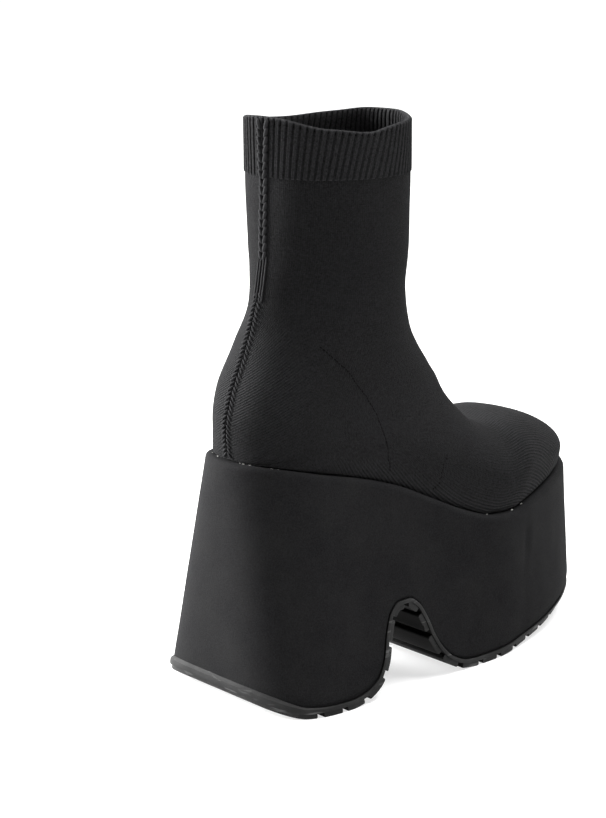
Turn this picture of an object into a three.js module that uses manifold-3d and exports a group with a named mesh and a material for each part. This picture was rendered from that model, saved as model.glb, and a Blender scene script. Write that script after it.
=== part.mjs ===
// Sock boot on a flared platform, right shoe, in millimetres.
// X runs from the heel to the toe, Y to the inner side of the foot, Z up from the floor.
// The knitted upper is one hollow wall. It stands on a cloth-wrapped platform with a block heel,
// over one grooved rubber sheet that follows the platform through its arch notch.
import * as THREE from 'three';
import { mergeVertices } from 'three/addons/utils/BufferGeometryUtils.js';
import Module from 'manifold-3d';

const wasm = await Module();
wasm.setup();

// Sizes of the boot as a whole
const bootHeight = 306;       // floor to the top of the collar at the back
const heelHeight = 130;       // floor to the foot at the back of the heel
const ballHeight = 79;        // floor to the foot under the ball
const toeLift = 9.5;          // how much higher the toe tip is than the ball
const footLength = 255;       // heel to toe, where the upper meets the platform
const ballWidth = 92;         // across the foot at the ball, on that line
const toeSwing = 14;          // toe tip to the inner side of the heel's axis
const heelRound = 34;         // length of the round end at the heel, on that line
const toeRound = 62;          // length of the round end at the toe, on that line
const swingStart = 0.35;      // share of footLength where the axis starts to swing inward
const ballStart = 0.58;       // share of footLength where the foot and the sole start to rise

// Sizes of the upper
const wall = 2;
const legDepth = 92.5;        // leg at the collar, back to front
const legWidth = 75.5;
const collarDip = 6;          // the collar is lower at the sides than at the back
const instepRise = 62;        // instep above the platform, over the ball
const cuffHeight = 31;
const cuffStep = 0.6;         // the folded cuff stands out this far from the leg
const cuffFold = 1.2;         // round of the fold at its top
const ribPitch = 3.6;
const ribDepth = 0.7;
const ribLean = 5.6;          // ribs lean forward by this much over the cuff's height
const seamWidth = 5;
const seamRise = 1;
const heelSunk = 20;          // foot sections run on this far into the platform at the back

// Sizes of the platform and the insole
const ledge = 4;              // platform beyond the upper at the top
const ledgeRound = 3.4;
const baseRear = 9;           // base behind the heel of the foot line
const baseFront = 8;          // base in front of the toe of the foot line
const baseHeelWidth = 114;
const baseBallWidth = 109;
const baseHeelRound = 46;
const baseToeRound = 76;
const archHeight = 49.5;      // floor to the cloth at the top of the notch
const archPlace = 79;         // from the heel of the foot line to the top of the notch
const archWidth = 38.5;       // notch at half its height
const toeSpring = 13;         // sole above the floor at the toe tip
const toeRoll = 8;            // the wall rolls under by this much at the toe's lower edge
const rollHeight = 22;        // height of that rolled edge
const rollStart = 0.62;       // share of footLength where it begins
const rollSpread = 0.25;      // and the share over which it grows to toeRoll
const heelBevel = 6;          // sole above the floor at the very back
const heelBevelRun = 17;      // length of that bevelled edge
const insoleThickness = 2.5;
const insoleClearance = 0.5;

// Sizes of the outsole
const outsoleThickness = 5.4;
const bandThickness = 2.6;    // the unbroken upper band of the rubber
const bandProud = 1;          // band beyond the cloth
const lugInset = 0.7;         // lugs step in from the band's edge
const lugPitch = 15;
const grooveWidth = 3.6;
const heelPad = 29;           // from the back of the base to the middle of the first groove

const gap = 0.3;              // between pieces that meet
const overlap = 0.6;          // between shapes that are joined into one piece

// Roundness of the ends of an outline: 2 is an ellipse, more is squarer
const footHeelRoundness = 2.1;
const footToeRoundness = 1.9;
const baseHeelRoundness = { outer: 2.9, inner: 3.5 };
const baseToeRoundness = 2;

// How quickly a curve that starts flat rises: 1 is a straight slope
const swingPower = 1.5;
const liftPower = 1.25;
const springPower = 1.35;
const edgePower = 1.5;

// Outline of the foot where upper and platform meet. Columns are shares: at along footLength,
// outer and inner across, of ballWidth, before the round ends are taken off.
const footSides = [
  { at: 0.00, outer: 0.370, inner: 0.368 },
  { at: 0.16, outer: 0.380, inner: 0.370 },
  { at: 0.35, outer: 0.430, inner: 0.345 },
  { at: 0.50, outer: 0.510, inner: 0.395 },
  { at: 0.62, outer: 0.555, inner: 0.440 },
  { at: 0.70, outer: 0.520, inner: 0.450 },
  { at: 0.80, outer: 0.455, inner: 0.450 },
  { at: 0.88, outer: 0.435, inner: 0.445 },
  { at: 1.00, outer: 0.465, inner: 0.450 },
];

// Outline of the base on the floor, in shares of its length and of baseHeelWidth and
// baseBallWidth, which the last column blends: 0 follows the heel, 1 the ball.
const baseSides = [
  { at: 0.00, outer: 0.510, inner: 0.530, ball: 0.0 },
  { at: 0.25, outer: 0.512, inner: 0.515, ball: 0.2 },
  { at: 0.45, outer: 0.520, inner: 0.490, ball: 0.7 },
  { at: 0.58, outer: 0.540, inner: 0.490, ball: 1.0 },
  { at: 0.68, outer: 0.522, inner: 0.500, ball: 1.0 },
  { at: 0.80, outer: 0.498, inner: 0.505, ball: 1.0 },
  { at: 1.00, outer: 0.480, inner: 0.490, ball: 1.0 },
];

// Height of the foot line: drop is the share of the way from heelHeight down to ballHeight.
const footDrops = [
  { at: 0.00, drop: 0.00 },
  { at: 0.05, drop: 0.04 },
  { at: 0.15, drop: 0.155 },
  { at: 0.24, drop: 0.27 },
  { at: 0.33, drop: 0.42 },
  { at: 0.42, drop: 0.635 },
  { at: 0.50, drop: 0.82 },
  { at: 0.58, drop: 0.95 },
  { at: 0.67, drop: 1.00 },
  { at: 1.00, drop: 1.00 },
];

// Underside of the platform at the notch: along is in shares of archWidth, from the notch's top.
// rise is the share of the way up from the flat underside to the top.
const archRows = [
  { along: -1.10, rise: 0.000 },
  { along: -0.90, rise: 0.030 },
  { along: -0.66, rise: 0.130 },
  { along: -0.50, rise: 0.340 },
  { along: -0.41, rise: 0.640 },
  { along: -0.30, rise: 0.870 },
  { along: -0.12, rise: 0.985 },
  { along: 0.08, rise: 0.995 },
  { along: 0.26, rise: 0.900 },
  { along: 0.40, rise: 0.700 },
  { along: 0.52, rise: 0.460 },
  { along: 0.66, rise: 0.270 },
  { along: 0.86, rise: 0.110 },
  { along: 1.10, rise: 0.020 },
  { along: 1.30, rise: 0.000 },
];

// Sections of the leg, collar first. backUp and frontUp are shares of the leg's height above
// heelHeight, back and front are shares of footLength, leg blends the foot's own front (0) with
// legDepth (1), and width is a share of legWidth. widest is the place of that width, as a share
// of the way from the front, and round is the roundness of the heel side, 2 for an ellipse.
const legSections = [
  {
    backUp: 1.000, frontUp: 0.982, back: 0.091, front: 0.450, leg: 1.00,
    width: 1.00, widest: 0.52, round: 2.10,
  },
  {
    backUp: 0.823, frontUp: 0.810, back: 0.092, front: 0.450, leg: 1.00,
    width: 1.00, widest: 0.52, round: 2.10,
  },
  {
    backUp: 0.620, frontUp: 0.615, back: 0.091, front: 0.455, leg: 0.98,
    width: 0.98, widest: 0.50, round: 1.95,
  },
  {
    backUp: 0.443, frontUp: 0.470, back: 0.077, front: 0.510, leg: 0.86,
    width: 0.92, widest: 0.46, round: 1.75,
  },
  {
    backUp: 0.310, frontUp: 0.365, back: 0.046, front: 0.545, leg: 0.55,
    width: 0.910, widest: 0.55, round: 2.07,
  },
  {
    backUp: 0.190, frontUp: 0.262, back: 0.010, front: 0.566, leg: 0.28,
    width: 0.905, widest: 0.66, round: 2.27,
  },
  {
    backUp: 0.090, frontUp: 0.182, back: -0.005, front: 0.575, leg: 0.08,
    width: 0.915, widest: 0.73, round: 2.01,
  },
];

// Sections of the foot, heel first. front and back are shares of footLength, for the ridge of
// the instep and for the point on the foot line. rise is the ridge above the foot line, in
// shares of instepRise. widest is the widest level, as a share of the way down from the ridge,
// and full is how wide it is there, in widths at the foot line. round is the roundness over the
// instep.
const footSections = [
  { front: 0.581, rise: 1.172, back: 0.000, widest: 0.68, full: 1.060, round: 2.02 },
  { front: 0.587, rise: 1.115, back: 0.031, widest: 0.69, full: 1.075, round: 2.05 },
  { front: 0.595, rise: 1.052, back: 0.085, widest: 0.67, full: 1.090, round: 2.05 },
  { front: 0.605, rise: 0.987, back: 0.174, widest: 0.65, full: 1.100, round: 2.05 },
  { front: 0.620, rise: 0.910, back: 0.279, widest: 0.63, full: 1.103, round: 2.05 },
  { front: 0.642, rise: 0.808, back: 0.388, widest: 0.58, full: 1.072, round: 2.08 },
  { front: 0.668, rise: 0.715, back: 0.484, widest: 0.55, full: 1.045, round: 2.05 },
  { front: 0.702, rise: 0.660, back: 0.574, widest: 0.55, full: 1.040, round: 2.08 },
  { front: 0.746, rise: 0.692, back: 0.651, widest: 0.55, full: 1.040, round: 2.15 },
  { front: 0.791, rise: 0.662, back: 0.721, widest: 0.55, full: 1.040, round: 2.25 },
  { front: 0.839, rise: 0.597, back: 0.791, widest: 0.55, full: 1.040, round: 2.30 },
  { front: 0.888, rise: 0.512, back: 0.853, widest: 0.56, full: 1.040, round: 2.30 },
  { front: 0.930, rise: 0.410, back: 0.907, widest: 0.58, full: 1.040, round: 2.30 },
  { front: 0.963, rise: 0.300, back: 0.950, widest: 0.62, full: 1.040, round: 2.30 },
  { front: 0.985, rise: 0.190, back: 0.979, widest: 0.66, full: 1.040, round: 2.30 },
  { front: 0.996, rise: 0.120, back: 0.994, widest: 0.70, full: 1.040, round: 2.30 },
  { front: 1.000, rise: 0.080, back: 0.999, widest: 0.72, full: 1.040, round: 2.30 },
];

// How fine the facets are
const outerColumns = 40;
const innerColumns = 30;
const outerRingCount = 30;
const innerRingCount = 20;
const baseStations = 38;
const profileSteps = 40;
const facetStep = 5;          // along the underside of the platform
const lugFacet = 6;           // and along the lugs
const beyond = 30;            // profiles run on past the foot at both ends
const below = 3;              // and past the floor

// Reads a column of a table at a place, on a smooth curve through its rows.
function readTable(rows, key, column, place) {
  const last = rows.length - 1;
  if (place <= rows[0][key]) return rows[0][column];
  if (place >= rows[last][key]) return rows[last][column];
  const i = rows.findIndex((row) => row[key] > place) - 1;
  const slope = (a, b) => (rows[b][column] - rows[a][column]) / (rows[b][key] - rows[a][key]);
  const tangent = (j) => {
    if (j === 0 || j === last) return j === 0 ? slope(0, 1) : slope(last - 1, last);
    const before = slope(j - 1, j);
    const after = slope(j, j + 1);
    return before * after <= 0 ? 0 : 2 * before * after / (before + after);
  };
  const span = rows[i + 1][key] - rows[i][key];
  const t = (place - rows[i][key]) / span;
  const [p, q] = [rows[i][column], rows[i + 1][column]];
  const [m, n] = [tangent(i) * span, tangent(i + 1) * span];
  return (2 * t ** 3 - 3 * t ** 2 + 1) * p + (t ** 3 - 2 * t ** 2 + t) * m
    + (3 * t ** 2 - 2 * t ** 3) * q + (t ** 3 - t ** 2) * n;
}

const mix = (a, b, t) => a + (b - a) * t;
const clamp = (value, low, high) => Math.min(Math.max(value, low), high);

// Quarter of a rounded end: 0 at its tip, 1 from run onwards.
function roundEnd(distance, run, power) {
  const t = 1 - clamp(distance / run, 0, 1);
  return (1 - t ** power) ** (1 / power);
}

// The foot's axis swings to the inner side towards the toe.
function axisY(x) {
  const t = Math.max((x / footLength - swingStart) / (1 - swingStart), 0);
  return toeSwing * t ** swingPower;
}

function footLineZ(x) {
  const at = x / footLength;
  const drop = readTable(footDrops, 'at', 'drop', at);
  const lift = toeLift * Math.max((at - ballStart) / (1 - ballStart), 0) ** liftPower;
  return mix(heelHeight, ballHeight, drop) + lift;
}

// Half widths of the foot outline, full before its round ends, and as closed by them
const footSide = (x, side) => readTable(footSides, 'at', side, x / footLength) * ballWidth;
const footToe = (x) => roundEnd(footLength - x, toeRound, footToeRoundness);
const footHeel = (x) => roundEnd(x, heelRound, footHeelRoundness);
const footHalf = (x, side) => footSide(x, side) * footToe(x) * footHeel(x);

const baseLength = baseRear + footLength + baseFront;

function baseHalf(x, side) {
  const at = (x + baseRear) / baseLength;
  const share = readTable(baseSides, 'at', side, at);
  const width = mix(baseHeelWidth, baseBallWidth, readTable(baseSides, 'at', 'ball', at));
  const heel = roundEnd(x + baseRear, baseHeelRound, baseHeelRoundness[side]);
  const toe = roundEnd(footLength + baseFront - x, baseToeRound, baseToeRoundness);
  return share * width * heel * toe;
}

// An outline as a closed ring, with stations that crowd at its two ends
function outlineRing(start, length, half) {
  const ring = [];
  for (let i = 0; i < 2 * baseStations; i += 1) {
    const angle = Math.PI * i / baseStations;
    const x = start + length * (1 - Math.cos(angle)) / 2;
    const side = angle <= Math.PI ? 'outer' : 'inner';
    const sign = side === 'outer' ? -1 : 1;
    ring.push(new THREE.Vector2(x, axisY(x) + sign * half(x, side)));
  }
  return ring;
}

// Moves an outline outward along its own normals.
function grownRing(ring, distance) {
  const count = ring.length;
  return ring.map((point, i) => {
    const along = ring[(i + 1) % count].clone().sub(ring[(i + count - 1) % count]).normalize();
    return new THREE.Vector2(point.x + along.y * distance, point.y - along.x * distance);
  });
}

// Solids from rings, from side profiles and back to meshes
function solidFromGeometry(geometry) {
  geometry.deleteAttribute('normal');
  geometry.deleteAttribute('uv');
  const merged = mergeVertices(geometry, 1e-4);
  return new wasm.Manifold(new wasm.Mesh({
    numProp: 3,
    vertProperties: new Float32Array(merged.attributes.position.array),
    triVerts: new Uint32Array(merged.index.array),
  }));
}

function solidFromRings(rings) {
  const count = rings[0].length;
  const points = rings.flat();
  const faces = [];
  for (let r = 0; r + 1 < rings.length; r += 1) {
    for (let c = 0; c < count; c += 1) {
      const a = r * count + c;
      const b = r * count + (c + 1) % count;
      faces.push(a, b, a + count, b, b + count, a + count);
    }
  }
  const capRing = (first, flip) => {
    const centre = new THREE.Vector3();
    for (let c = 0; c < count; c += 1) centre.addScaledVector(points[first + c], 1 / count);
    points.push(centre);
    for (let c = 0; c < count; c += 1) {
      const a = first + c;
      const b = first + (c + 1) % count;
      faces.push(...(flip ? [b, a, points.length - 1] : [a, b, points.length - 1]));
    }
  };
  capRing(0, true);
  capRing((rings.length - 1) * count, false);
  let volume = 0;
  for (let f = 0; f < faces.length; f += 3) {
    const [a, b, c] = [points[faces[f]], points[faces[f + 1]], points[faces[f + 2]]];
    volume += a.dot(b.clone().cross(c));
  }
  if (volume < 0) faces.reverse();
  const geometry = new THREE.BufferGeometry().setFromPoints(points);
  geometry.setIndex(faces);
  return solidFromGeometry(geometry);
}

// A side profile in X and Z, as wide as the boot and more
function solidFromProfile(profile) {
  const span = baseHeelWidth + baseBallWidth;
  const shape = new THREE.Shape(profile);
  const geometry = new THREE.ExtrudeGeometry(shape, { depth: span, bevelEnabled: false });
  geometry.translate(0, 0, -span / 2);
  geometry.rotateX(Math.PI / 2);
  return solidFromGeometry(geometry);
}

function meshFromSolid(name, solid, look) {
  const { vertProperties, triVerts } = solid.getMesh();
  const geometry = new THREE.BufferGeometry();
  geometry.setAttribute('position', new THREE.BufferAttribute(vertProperties, 3));
  geometry.setIndex(new THREE.BufferAttribute(triVerts, 1));
  geometry.computeVertexNormals();
  const mesh = new THREE.Mesh(geometry, new THREE.MeshStandardMaterial(look));
  mesh.name = name;
  return mesh;
}

function footLinePoints(above) {
  const points = [];
  for (let i = 0; i <= profileSteps; i += 1) {
    const x = mix(-beyond, footLength + beyond, i / profileSteps);
    points.push(new THREE.Vector2(x, footLineZ(x) + above));
  }
  return points;
}

// Underside of the platform: bevelled edge, flat heel, notch, flat ball, and the spring to the toe
function undersideZ(x) {
  const along = (x - archPlace) / archWidth;
  const notch = readTable(archRows, 'along', 'rise', along) * (archHeight - outsoleThickness);
  const springRun = footLength + baseFront - ballStart * footLength;
  const pastBall = Math.max(x - ballStart * footLength, 0);
  const spring = toeSpring * (pastBall / springRun) ** springPower;
  const pastHeel = Math.max(heelBevelRun - baseRear - x, 0);
  const bevel = heelBevel * (pastHeel / heelBevelRun) ** edgePower;
  return outsoleThickness + notch + spring + bevel;
}

// The underside as a curve that can be walked in even steps
const undersideCurve = (() => {
  const points = [];
  const steps = 400;
  for (let i = 0; i <= steps; i += 1) {
    const x = mix(-beyond, footLength + beyond, i / steps);
    points.push(new THREE.Vector2(x, undersideZ(x)));
  }
  return new THREE.SplineCurve(points);
})();

const undersideLength = undersideCurve.getLength();

// A point of the underside at a distance along it, moved down by depth along its normal
function undersidePoint(distance, depth) {
  const u = clamp(distance / undersideLength, 0, 1);
  const point = undersideCurve.getPointAt(u);
  const along = undersideCurve.getTangentAt(u);
  return new THREE.Vector2(point.x + along.y * depth, point.y - along.x * depth);
}

function undersidePoints(depth) {
  const count = Math.round(undersideLength / facetStep);
  const step = undersideLength / count;
  return Array.from({ length: count + 1 }, (_, i) => undersidePoint(i * step, depth));
}

// Flared wall between the foot line and the floor, with a round ledge at its top
function flaredBody(proud) {
  const top = grownRing(outlineRing(0, footLength, footHalf), ledge + proud);
  const base = grownRing(outlineRing(-baseRear, baseLength, baseHalf), proud);
  const topZ = (point) => footLineZ(point.x) - gap;
  const rings = [];
  const normals = grownRing(base, 1).map((point, i) => point.clone().sub(base[i]));
  const rollShare = (x) => clamp((x / footLength - rollStart) / rollSpread, 0, 1);
  const belowLedge = 0.93;
  for (const z of [-below, rollHeight * 0.4, rollHeight * 0.75, rollHeight, ballHeight]) {
    const under = clamp(1 - z / rollHeight, 0, 1) ** edgePower;
    rings.push(base.map((point, i) => {
      const share = clamp(z / topZ(top[i]), 0, belowLedge);
      const flared = point.clone().lerp(top[i], share);
      flared.addScaledVector(normals[i], -toeRoll * under * rollShare(point.x));
      return new THREE.Vector3(flared.x, flared.y, Math.min(z, belowLedge * topZ(top[i])));
    }));
  }
  for (const degrees of [0, 40, 75]) {
    const angle = THREE.MathUtils.degToRad(degrees);
    const ring = grownRing(top, ledgeRound * (Math.cos(angle) - 1));
    const drop = ledgeRound * (1 - Math.sin(angle));
    rings.push(ring.map((point) => new THREE.Vector3(point.x, point.y, topZ(point) - drop)));
  }
  const inner = grownRing(top, -2 * ledgeRound);
  rings.push(inner.map((point) => new THREE.Vector3(point.x, point.y, topZ(point) + ledgeRound)));
  return solidFromRings(rings);
}

function platformSolid() {
  const profile = [...undersidePoints(0), ...footLinePoints(-gap).reverse()];
  return flaredBody(0).intersect(solidFromProfile(profile));
}

// The rubber: an unbroken band under the platform, with lugs across it
function outsoleSolid() {
  const band = [...undersidePoints(gap), ...undersidePoints(bandThickness).reverse()];
  const bandSolid = flaredBody(bandProud).intersect(solidFromProfile(band));
  const lugs = [];
  const firstGroove = beyond - baseRear + heelPad;
  const count = Math.floor((undersideLength - firstGroove) / lugPitch);
  for (let i = 0; i <= count; i += 1) {
    const end = firstGroove + i * lugPitch - grooveWidth / 2;
    const start = i === 0 ? 0 : end - lugPitch + grooveWidth;
    const steps = Math.ceil((end - start) / lugFacet);
    const places = Array.from({ length: steps + 1 }, (_, k) => mix(start, end, k / steps));
    lugs.push(solidFromProfile([
      ...places.map((place) => undersidePoint(place, bandThickness - overlap)),
      ...places.reverse().map((place) => undersidePoint(place, outsoleThickness)),
    ]));
  }
  const lugBody = flaredBody(bandProud - lugInset);
  return lugs.reduce((solid, lug) => solid.add(lug.intersect(lugBody)), bandSolid);
}

// Exponent of a rounded end that is full at 0, closed at 1 and has the given width at t
function endPower(t, width) {
  let [low, high] = [1.6, 9];
  for (let i = 0; i < 24; i += 1) {
    const power = (low + high) / 2;
    if ((1 - t ** power) ** (1 / power) < width) low = power;
    else high = power;
  }
  return (low + high) / 2;
}

// The last that the upper is knitted over: one section for each place u, from 0 at the collar
// to 1 at the toe. A section is a closed curve between its front and its back point.
const legRows = legSections.map((row, i) => ({ ...row, u: i }));
const footRows = footSections.map((row, i) => ({ ...row, u: i + legSections.length }));
const lastU = legSections.length + footSections.length - 1;

const roundFront = { foot: 2.05, leg: 2.15 };
const heelTipRound = 2.3;

function legSection(row) {
  const height = bootHeight - heelHeight;
  const backX = row.back * footLength;
  const frontX = mix(row.front * footLength, backX + legDepth, row.leg);
  const half = row.width * legWidth / 2;
  return {
    front: new THREE.Vector2(frontX, heelHeight + row.frontUp * height),
    back: new THREE.Vector2(backX, heelHeight + row.backUp * height),
    outer: half,
    inner: half,
    widest: row.widest,
    frontPower: mix(roundFront.foot, roundFront.leg, row.leg),
    backPower: row.round,
  };
}

// A foot section runs on into the platform behind the foot line, so that it crosses that line
// as wide as the foot's outline is there.
function footSection(row) {
  const front = new THREE.Vector2(row.front * footLength, 0);
  front.y = footLineZ(front.x) + row.rise * instepRise;
  const meet = new THREE.Vector2(row.back * footLength, footLineZ(row.back * footLength));
  const down = meet.clone().sub(front);
  const sunk = Math.min(meet.x, heelSunk);
  const back = meet.clone().addScaledVector(down.clone().normalize(), sunk);
  const length = down.length() + sunk;
  const widest = row.widest * down.length() / length;
  const t = (down.length() / length - widest) / (1 - widest);
  return {
    front,
    back,
    outer: footSide(meet.x, 'outer') * footToe(meet.x) * row.full,
    inner: footSide(meet.x, 'inner') * footToe(meet.x) * row.full,
    widest,
    frontPower: row.round,
    backPower: sunk > 0 ? endPower(t, footHeel(meet.x) / row.full) : heelTipRound,
  };
}

const sectionRows = [...legRows.map(legSection), ...footRows.map(footSection)].map((row, i) => ({
  u: i / lastU,
  frontX: row.front.x,
  frontZ: row.front.y,
  backX: row.back.x,
  backZ: row.back.y,
  outer: row.outer,
  inner: row.inner,
  widest: row.widest,
  frontPower: row.frontPower,
  backPower: row.backPower,
}));

function sectionAt(u) {
  const section = {};
  for (const column of Object.keys(sectionRows[0])) {
    section[column] = readTable(sectionRows, 'u', column, u);
  }
  return section;
}

// Point of the last: angle runs from 0 at the back round the outer side to pi at the front.
function lastPoint(u, angle) {
  const section = sectionAt(clamp(u, 0, 1));
  const [c, s] = [Math.cos(angle), Math.sin(angle)];
  const power = c > 0 ? section.backPower : section.frontPower;
  const reach = c > 0 ? 1 - section.widest : section.widest;
  const along = section.widest + Math.sign(c) * reach * Math.abs(c) ** (2 / power);
  const side = s >= 0 ? 'outer' : 'inner';
  const half = section[side] * Math.abs(s) ** (2 / power);
  const x = mix(section.frontX, section.backX, along);
  const dip = collarDip * s * s * clamp(1 - u * lastU, 0, 1);
  return new THREE.Vector3(
    x,
    axisY(x) - Math.sign(s) * half,
    mix(section.frontZ, section.backZ, along) - dip,
  );
}

function lastNormal(u, angle) {
  const [du, da] = [2e-3, 1e-2];
  const along = lastPoint(Math.min(u + du, 1), angle).sub(lastPoint(Math.max(u - du, 0), angle));
  const round = lastPoint(u, angle + da).sub(lastPoint(u, angle - da));
  return along.cross(round).normalize();
}

// A point of a skin of the last, offset outward by a distance
function skinPoint(u, angle, offset) {
  return lastPoint(u, angle).addScaledVector(lastNormal(u, angle), offset);
}

function lastRings(offset, columns, ringCount, firstU, finalU) {
  const rings = [];
  for (let r = 0; r <= ringCount; r += 1) {
    const u = mix(firstU, finalU, r / ringCount);
    rings.push(columns.map((angle) => skinPoint(u, angle, offset)));
  }
  return rings;
}

function evenAngles(count) {
  return Array.from({ length: count }, (_, i) => 2 * Math.PI * (i + 0.5) / count);
}

// Half of the back seam, a braid of two raised strands with a furrow between them:
// off is in shares of seamWidth from its middle, rise in shares of seamRise.
const seamProfile = [
  { off: 0.00, rise: 0.45 },
  { off: 0.26, rise: 1.00 },
  { off: 0.46, rise: 0.80 },
  { off: 0.60, rise: 0.00 },
];
const seamAngle = 0.16;

// The outside of the leg and foot. It starts inside the cuff.
function outerRingsWithSeam() {
  const rings = [];
  const firstU = 0.3 / lastU;
  const side = evenAngles(outerColumns).filter((angle) => angle < Math.PI && angle > seamAngle);
  for (let r = 0; r <= outerRingCount; r += 1) {
    const u = mix(firstU, 1, r / outerRingCount);
    const section = sectionAt(u);
    const ring = [];
    const addSeam = (row, sign) => {
      const share = clamp(row.off * seamWidth / section.outer, 0, 1);
      const angle = sign * Math.asin(share ** (section.backPower / 2));
      ring.push(skinPoint(u, angle, row.rise * seamRise));
    };
    seamProfile.forEach((row) => addSeam(row, 1));
    side.forEach((angle) => ring.push(skinPoint(u, angle, 0)));
    [...side].reverse().forEach((angle) => ring.push(skinPoint(u, -angle, 0)));
    [...seamProfile].reverse().slice(0, -1).forEach((row) => addSeam(row, -1));
    rings.push(ring);
  }
  return rings;
}

// The ribbed cuff: crest and groove by turns, leaning forward towards the top
function cuffSolid() {
  const ribCount = Math.round(Math.PI * (legDepth + legWidth) / 2 / ribPitch);
  const firstRow = (legSections[0].backUp - legSections[1].backUp) * (bootHeight - heelHeight);
  const uPerHeight = 1 / (lastU * firstRow);
  const rows = [
    { down: 0, out: cuffStep - cuffFold, rib: 0 },
    { down: cuffFold, out: cuffStep, rib: 1 },
    { down: cuffHeight * 0.5, out: cuffStep, rib: 1 },
    { down: cuffHeight - cuffStep, out: cuffStep, rib: 1 },
    { down: cuffHeight, out: -overlap, rib: 0 },
  ];
  const rings = rows.map((row) => {
    const lean = ribLean * (1 - row.down / cuffHeight) / (legWidth / 2);
    return Array.from({ length: 2 * ribCount }, (_, i) => {
      const even = Math.PI * i / ribCount;
      const angle = even + lean * Math.sin(even);
      const groove = i % 2 ? ribDepth * row.rib : 0;
      return skinPoint(row.down * uPerHeight, angle, row.out - groove);
    });
  });
  return solidFromRings(rings);
}

// Inside of the upper, open above the collar. The toe keeps a thicker end, as a toe puff does.
const puffRows = 2.2;
const puffU = 1 - puffRows / lastU;

function innerRings(offset) {
  const columns = evenAngles(innerColumns);
  const rings = lastRings(offset, columns, innerRingCount, 0, puffU);
  const mouth = rings[0].map((point) => point.clone().setZ(point.z + 2 * collarDip));
  return [mouth, ...rings];
}

function aboveFootLine(above, height) {
  return solidFromProfile([...footLinePoints(above), ...footLinePoints(above + height).reverse()]);
}

function upperSolid() {
  const skin = solidFromRings(outerRingsWithSeam()).add(cuffSolid());
  const inside = solidFromRings(innerRings(-wall));
  return skin.subtract(inside).intersect(aboveFootLine(0, 2 * bootHeight));
}

function insoleSolid() {
  const inside = solidFromRings(innerRings(-wall - insoleClearance));
  return inside.intersect(aboveFootLine(0, insoleThickness));
}

const knit = { color: 0x1d1d1e, roughness: 0.95, metalness: 0 };
const wrapCloth = { color: 0x232324, roughness: 0.9, metalness: 0 };
const rubber = { color: 0x333334, roughness: 0.6, metalness: 0 };
const lining = { color: 0x161617, roughness: 0.9, metalness: 0 };

const group = new THREE.Group();
group.add(meshFromSolid('outsole', outsoleSolid(), rubber));
group.add(meshFromSolid('platform', platformSolid(), wrapCloth));
group.add(meshFromSolid('insole', insoleSolid(), lining));
group.add(meshFromSolid('upper', upperSolid(), knit));

// The origin is the middle of the boot's box, on the floor.
const box = new THREE.Box3().setFromObject(group);
group.position.set(-(box.min.x + box.max.x) / 2, -(box.min.y + box.max.y) / 2, -box.min.z);

export default group;
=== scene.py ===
import math

import bpy
import numpy as np
from mathutils import Matrix, Vector


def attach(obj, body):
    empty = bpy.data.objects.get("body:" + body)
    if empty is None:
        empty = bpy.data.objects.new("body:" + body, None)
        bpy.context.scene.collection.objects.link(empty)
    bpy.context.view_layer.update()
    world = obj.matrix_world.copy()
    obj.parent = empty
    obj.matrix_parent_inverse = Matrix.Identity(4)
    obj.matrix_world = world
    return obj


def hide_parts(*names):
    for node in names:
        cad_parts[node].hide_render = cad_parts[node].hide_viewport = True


# A knitted sock boot on a flared platform, right shoe. Lengths are in millimetres, measured from
# the back of the foot line, and turned to metres when a mesh is made.
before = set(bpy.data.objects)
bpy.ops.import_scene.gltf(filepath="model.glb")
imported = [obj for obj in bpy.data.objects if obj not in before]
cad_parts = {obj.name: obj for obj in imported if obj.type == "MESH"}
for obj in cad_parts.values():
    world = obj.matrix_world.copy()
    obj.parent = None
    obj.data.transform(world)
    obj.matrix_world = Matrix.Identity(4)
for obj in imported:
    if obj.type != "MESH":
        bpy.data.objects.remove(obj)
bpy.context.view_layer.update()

# Platform
# A light foam block with a flared heel and an arch notch, covered in one piece of matte black
# microfibre. The cloth is pulled over the top edge, and its lower edge rolls under to the rubber.
FOOT_LENGTH, BALL_WIDTH = 255, 92
HEEL_HEIGHT, BALL_HEIGHT, TOE_LIFT = 130, 79, 9.5
TOE_SWING, SWING_START, BALL_START = 14, 0.35, 0.58
HEEL_ROUND, TOE_ROUND = 34, 62
LEDGE, LEDGE_ROUND = 4, 3.4
BASE_REAR, BASE_FRONT = 9, 8
BASE_HEEL_WIDTH, BASE_BALL_WIDTH = 114, 109
BASE_HEEL_ROUND, BASE_TOE_ROUND = 46, 76
ARCH_HEIGHT, ARCH_PLACE, ARCH_WIDTH = 49.5, 79, 38.5
TOE_SPRING, HEEL_BEVEL, HEEL_BEVEL_RUN = 13, 6, 17
TOE_ROLL, ROLL_HEIGHT, ROLL_START, ROLL_SPREAD = 8, 22, 0.62, 0.25
SOLE_THICKNESS, GAP, BEYOND = 5.4, 0.3, 30
ORIGIN = np.array([-126.4, -0.6, 0.0])   # back of the foot line, in the boot's own frame

# Share of the foot's length, then outer and inner side in shares of the ball width
FOOT_SIDES = np.array([
    (0.00, 0.370, 0.368), (0.16, 0.380, 0.370), (0.35, 0.430, 0.345),
    (0.50, 0.510, 0.395), (0.62, 0.555, 0.440), (0.70, 0.520, 0.450),
    (0.80, 0.455, 0.450), (0.88, 0.435, 0.445), (1.00, 0.465, 0.450),
])
# Share of the base's length, outer and inner side, and how far its width follows the ball's
BASE_SIDES = np.array([
    (0.00, 0.510, 0.530, 0.0), (0.25, 0.512, 0.515, 0.2), (0.45, 0.520, 0.490, 0.7),
    (0.58, 0.540, 0.490, 1.0), (0.68, 0.522, 0.500, 1.0), (0.80, 0.498, 0.505, 1.0),
    (1.00, 0.480, 0.490, 1.0),
])
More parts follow.
